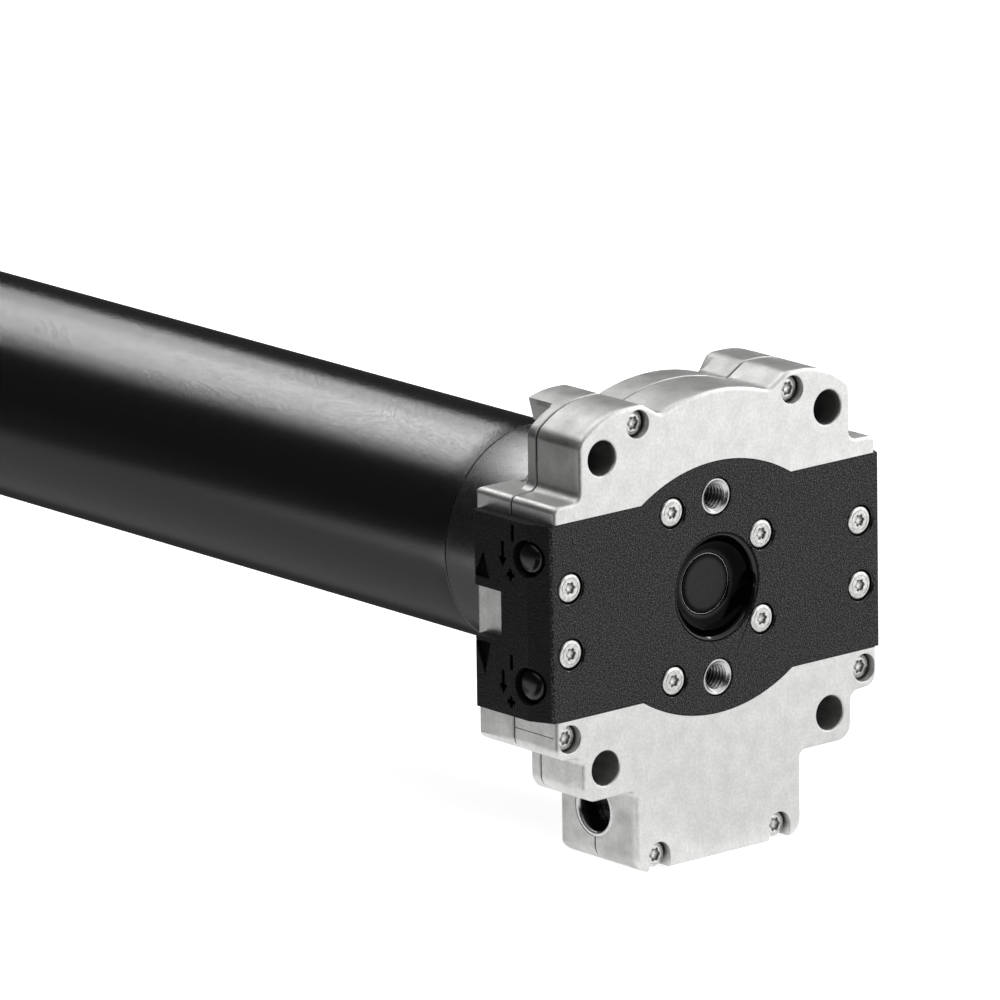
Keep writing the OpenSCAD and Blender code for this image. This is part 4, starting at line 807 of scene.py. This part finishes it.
# Profile of the crown: its spigot in the head, the ring's outside and its hollow, back to the bore
def crownOutline(radius, start, end, inside, floor, bore, neck, spigot, spigotStart, spigotEnd, edge, endEdge):
    points = [(bore, spigotStart), (spigot, spigotStart), (spigot, spigotEnd), (neck, spigotEnd), (neck, start),
              (radius - edge, start)]
    points += arc(radius - edge, start + edge, edge, -90, 0) + [(radius, end - endEdge)]
    points += arc(radius - endEdge, end - endEdge, endEdge, 0, 90, 4)
    return points + [(inside, end), (inside, floor), (bore, floor), (bore, spigotStart)]


# Profile of the tube, from its near end over the outside and back through the bore
def tubeOutline(radius, inside, start, end, edge, endEdge):
    points = [(inside, start), (radius - edge, start)] + arc(radius - edge, start + edge, edge, -90, 0, 4)
    points += [(radius, y) for y in np.linspace(80, 550, 24)] + [(radius, end - endEdge)]
    points += arc(radius - endEdge, end - endEdge, endEdge, 0, 90, 4)
    return points + [(inside, end), (inside, start)]


for name, profile, finish, body, slot, node in (
        ("crownRing", crownOutline(**crown), "crownSatin", "crown", "crown_satin", "crown_ring"),
        ("motorTube", tubeOutline(**tube), "tubePaint", "tube_unit", "tube_paint", "motor_tube")):
    shell = meshFromGrids(name, [turned(profile, columns=192)])
    addPiece(name, shell, finishes[finish], body, [node])


# The same radius for each edge of a piece
def evenRadius(radius):
    return lambda middle, direction, angle: np.full(len(middle), radius)


for name, node, body, radius in (("endFlange", "end_flange", "tube_unit", 0.5),
                                 ("cableInlet", "cable_inlet", "head", 0.3)):
    mesh = mergedCopy(node, flatAreas=True)
    roundEdges(addPiece(name, mesh, finishes["darkPlastic"], body, [node]), evenRadius(radius))
print("crown, tube and far end made")


stage = {"floorSize": 40.0, "floorColour": 0.8, "floorGlow": 0.74, "ambient": 0.3}
mirrored = {"near": 2.0, "slope": -4.3, "darkest": 0.05, "brightest": 1.15, "lean": (-0.34, 0.94)}
floorZ = cadBox[0][2] - 0.0002  # a hair under the object
cardColumns = 49


# Flat or curved card of the studio, from rows of places in metres, that only reflections show
def studioCard(name, grid, strength):
    mesh = bpy.data.meshes.new(name)
    mesh.from_pydata(grid.reshape(-1, 3), [], gridFaces(grid.shape[0], grid.shape[1], 0).tolist())
    card = newObject(name, mesh)
    cloth = bpy.data.materials.new(name)
    cloth.use_nodes = True
    cloth.node_tree.nodes.clear()
    glow = cloth.node_tree.nodes.new("ShaderNodeEmission")
    glow.inputs["Strength"].default_value = strength
    output = cloth.node_tree.nodes.new("ShaderNodeOutputMaterial")
    cloth.node_tree.links.new(glow.outputs[0], output.inputs["Surface"])
    mesh.materials.append(cloth)
    card.visible_camera = card.visible_diffuse = card.visible_shadow = False
    return card


# Upright band of a cylinder round the object, between two turns in degrees and two heights
def roundBand(radius, turns, heights):
    a = np.radians(np.linspace(*turns, cardColumns))
    flat = [radius * np.cos(a), radius * np.sin(a)]
    return np.stack([np.stack(flat + [np.full(cardColumns, z)], axis=1) for z in heights])


# Card that lies just over the floor, between two places
def lyingCard(low, high):
    x, y = np.meshgrid((low[0], high[0]), (low[1], high[1]), indexing="ij")
    return np.stack([x, y, np.full((2, 2), floorZ + 0.001)], axis=2)


# Share of the rays that see the pale background: from the camera, by reflection or through glass
def backgroundRays(tree):
    rays = tree.nodes.new("ShaderNodeLightPath")
    both = maths(tree, "MAXIMUM", rays.outputs["Is Camera Ray"], rays.outputs["Is Glossy Ray"])
    return maths(tree, "MAXIMUM", both, rays.outputs["Is Transmission Ray"])


reach = stage["floorSize"] / 2
floorMesh = bpy.data.meshes.new("floor")
floorMesh.from_pydata([(-reach, -reach, floorZ), (reach, -reach, floorZ), (reach, reach, floorZ),
                       (-reach, reach, floorZ)], [], [(0, 1, 2, 3)])
newObject("floor", floorMesh)
floorPaint = bpy.data.materials.new("palePaper")
floorPaint.use_nodes = True
tree = floorPaint.node_tree
tree.nodes.clear()
paper = tree.nodes.new("ShaderNodeBsdfDiffuse")
paper.inputs["Color"].default_value = (stage["floorColour"],) * 3 + (1,)
glow = tree.nodes.new("ShaderNodeEmission")
tree.links.new(maths(tree, "MULTIPLY", backgroundRays(tree), stage["floorGlow"]), glow.inputs["Strength"])
both = tree.nodes.new("ShaderNodeAddShader")
tree.links.new(paper.outputs[0], both.inputs[0])
tree.links.new(glow.outputs[0], both.inputs[1])

# In metal the floor is brightest to the front and right and fades to the back and left: the glow is
# near + slope (lean . place), within its limits
where = tree.nodes.new("ShaderNodeSeparateXYZ")
tree.links.new(placesOn(tree), where.inputs[0])
away = maths(tree, "ADD", maths(tree, "MULTIPLY", where.outputs["X"], mirrored["lean"][0]),
             maths(tree, "MULTIPLY", where.outputs["Y"], mirrored["lean"][1]))
level = maths(tree, "ADD", maths(tree, "MULTIPLY", away, mirrored["slope"]), mirrored["near"])
level = maths(tree, "MINIMUM", maths(tree, "MAXIMUM", level, mirrored["darkest"]), mirrored["brightest"])
sheen = tree.nodes.new("ShaderNodeEmission")
tree.links.new(level, sheen.inputs["Strength"])
seen = tree.nodes.new("ShaderNodeMixShader")
tree.links.new(tree.nodes.new("ShaderNodeLightPath").outputs["Is Glossy Ray"], seen.inputs[0])
tree.links.new(both.outputs[0], seen.inputs[1])
tree.links.new(sheen.outputs[0], seen.inputs[2])
output = tree.nodes.new("ShaderNodeOutputMaterial")
tree.links.new(seen.outputs[0], output.inputs["Surface"])
floorMesh.materials.append(floorPaint)

world = bpy.data.worlds.new("studio")
bpy.context.scene.world = world
world.use_nodes = True
tree = world.node_tree
background = tree.nodes["Background"]
share = backgroundRays(tree)
strength = maths(tree, "ADD", maths(tree, "MULTIPLY", share, 1 - stage["ambient"]), stage["ambient"])
tree.links.new(strength, background.inputs["Strength"])
background.inputs["Color"].default_value = (1, 1, 1, 1)


# Arc-shaped panel far behind, round the tube's own axis: all places at the same slant from the tube see it
def archPanel(y, radii, turns):
    a = np.radians(np.linspace(*turns, cardColumns))
    depth = np.full(cardColumns, y)
    return np.stack([np.stack([r * np.cos(a), depth, r * np.sin(a)], axis=1) for r in radii])


# What metal and gloss show, each card with its strength
cards = {
    "darkBand": (roundBand(9.5, (27, 283), (-0.1, 9.3)), 0.03),  # the dark room behind, to the left and in front
    "keyStrip": (roundBand(2.4, (-14, 20), (1.68, 1.9)), 22.0),  # thin light high on the right
    # painted shadow of the head on the floor, seen in reflections
    "nearShadowCard": (lyingCard((0.0, -0.17), (0.16, -0.005)), 0.86),  # floor just before the head
    "brightPanel": (roundBand(2.5, (-76, 26), (-0.05, 1.5)), 1.85),  # to the front and right
    # painted shade on the floor to the left, seen in reflections
    "leftShadeCard": (lyingCard((-1.2, -1.2), (-0.12, 0.06)), 0.05),  # floor to the left
    # painted shadow of the tube on the floor, seen in reflections
    "shadeCard": (lyingCard((0.0, 0.06), (2.0, 4.0)), 0.05),  # floor to the right, behind the head
    # painted shadow of the tube on the floor, seen in reflections
    "underTubeShadowCard": (lyingCard((-0.15, 0.1), (0.0, 4.0)), 0.25),  # floor under the tube
    "archPanel": (archPanel(6.5, (5.2, 6.15), (43, 116)), 4.0),  # over the tube, far behind
    "archMiddle": (archPanel(6.45, (5.2, 6.15), (64, 103)), 7.8),  # its brighter middle
}
for name, (grid, strength) in cards.items():
    studioCard(name, grid, strength)

lamps = {
    "overheadSoft": {"place": (0.15, 0.5, 1.0), "aim": (0.0, 0.2, 0), "size": (1.2, 1.6), "radiance": 1.2},
    "frontSoftbox": {"place": (1.0, -1.2, 0.9), "aim": (0, 0, 0), "size": (0.9, 0.9), "radiance": 2.0},
}
for name, lamp in lamps.items():
    light = bpy.data.lights.new(name, "AREA")
    light.shape, light.size, light.size_y = "RECTANGLE", *lamp["size"]
    light.energy = 4 * lamp["size"][0] * lamp["size"][1] * lamp["radiance"]
    softbox = newObject(name, light)
    back = np.array(lamp["place"], dtype=float) - np.array(lamp["aim"], dtype=float)
    back /= np.linalg.norm(back)
    side = np.cross((0, 0, 1), back)
    side /= np.linalg.norm(side)
    turn = Matrix(np.stack([side, np.cross(back, side), back], axis=1).tolist()).to_4x4()
    softbox.matrix_world = Matrix.Translation(lamp["place"]) @ turn
    softbox.visible_camera = softbox.visible_glossy = False  # the cards are what metal shows

view = {"place": (-2.05981, -2.35687, 0.83952), "right": (0.76201, -0.64740, -0.01433),
        "up": (0.17386, 0.18322, 0.96757), "back": (-0.62378, -0.73980, 0.25218), "lens": 454.35}
lens = bpy.data.cameras.new("camera")
lens.sensor_width, lens.lens = 36, view["lens"]
lens.clip_start, lens.clip_end = 0.1, 60
camera = newObject("camera", lens)
turn = Matrix([list(row) for row in zip(view["right"], view["up"], view["back"])]).to_4x4()
camera.matrix_world = Matrix.Translation(view["place"]) @ turn
bpy.context.scene.camera = camera
bpy.context.scene.view_settings.view_transform = "Standard"
print("stage, light and camera set")

bpy.context.view_layer.update()
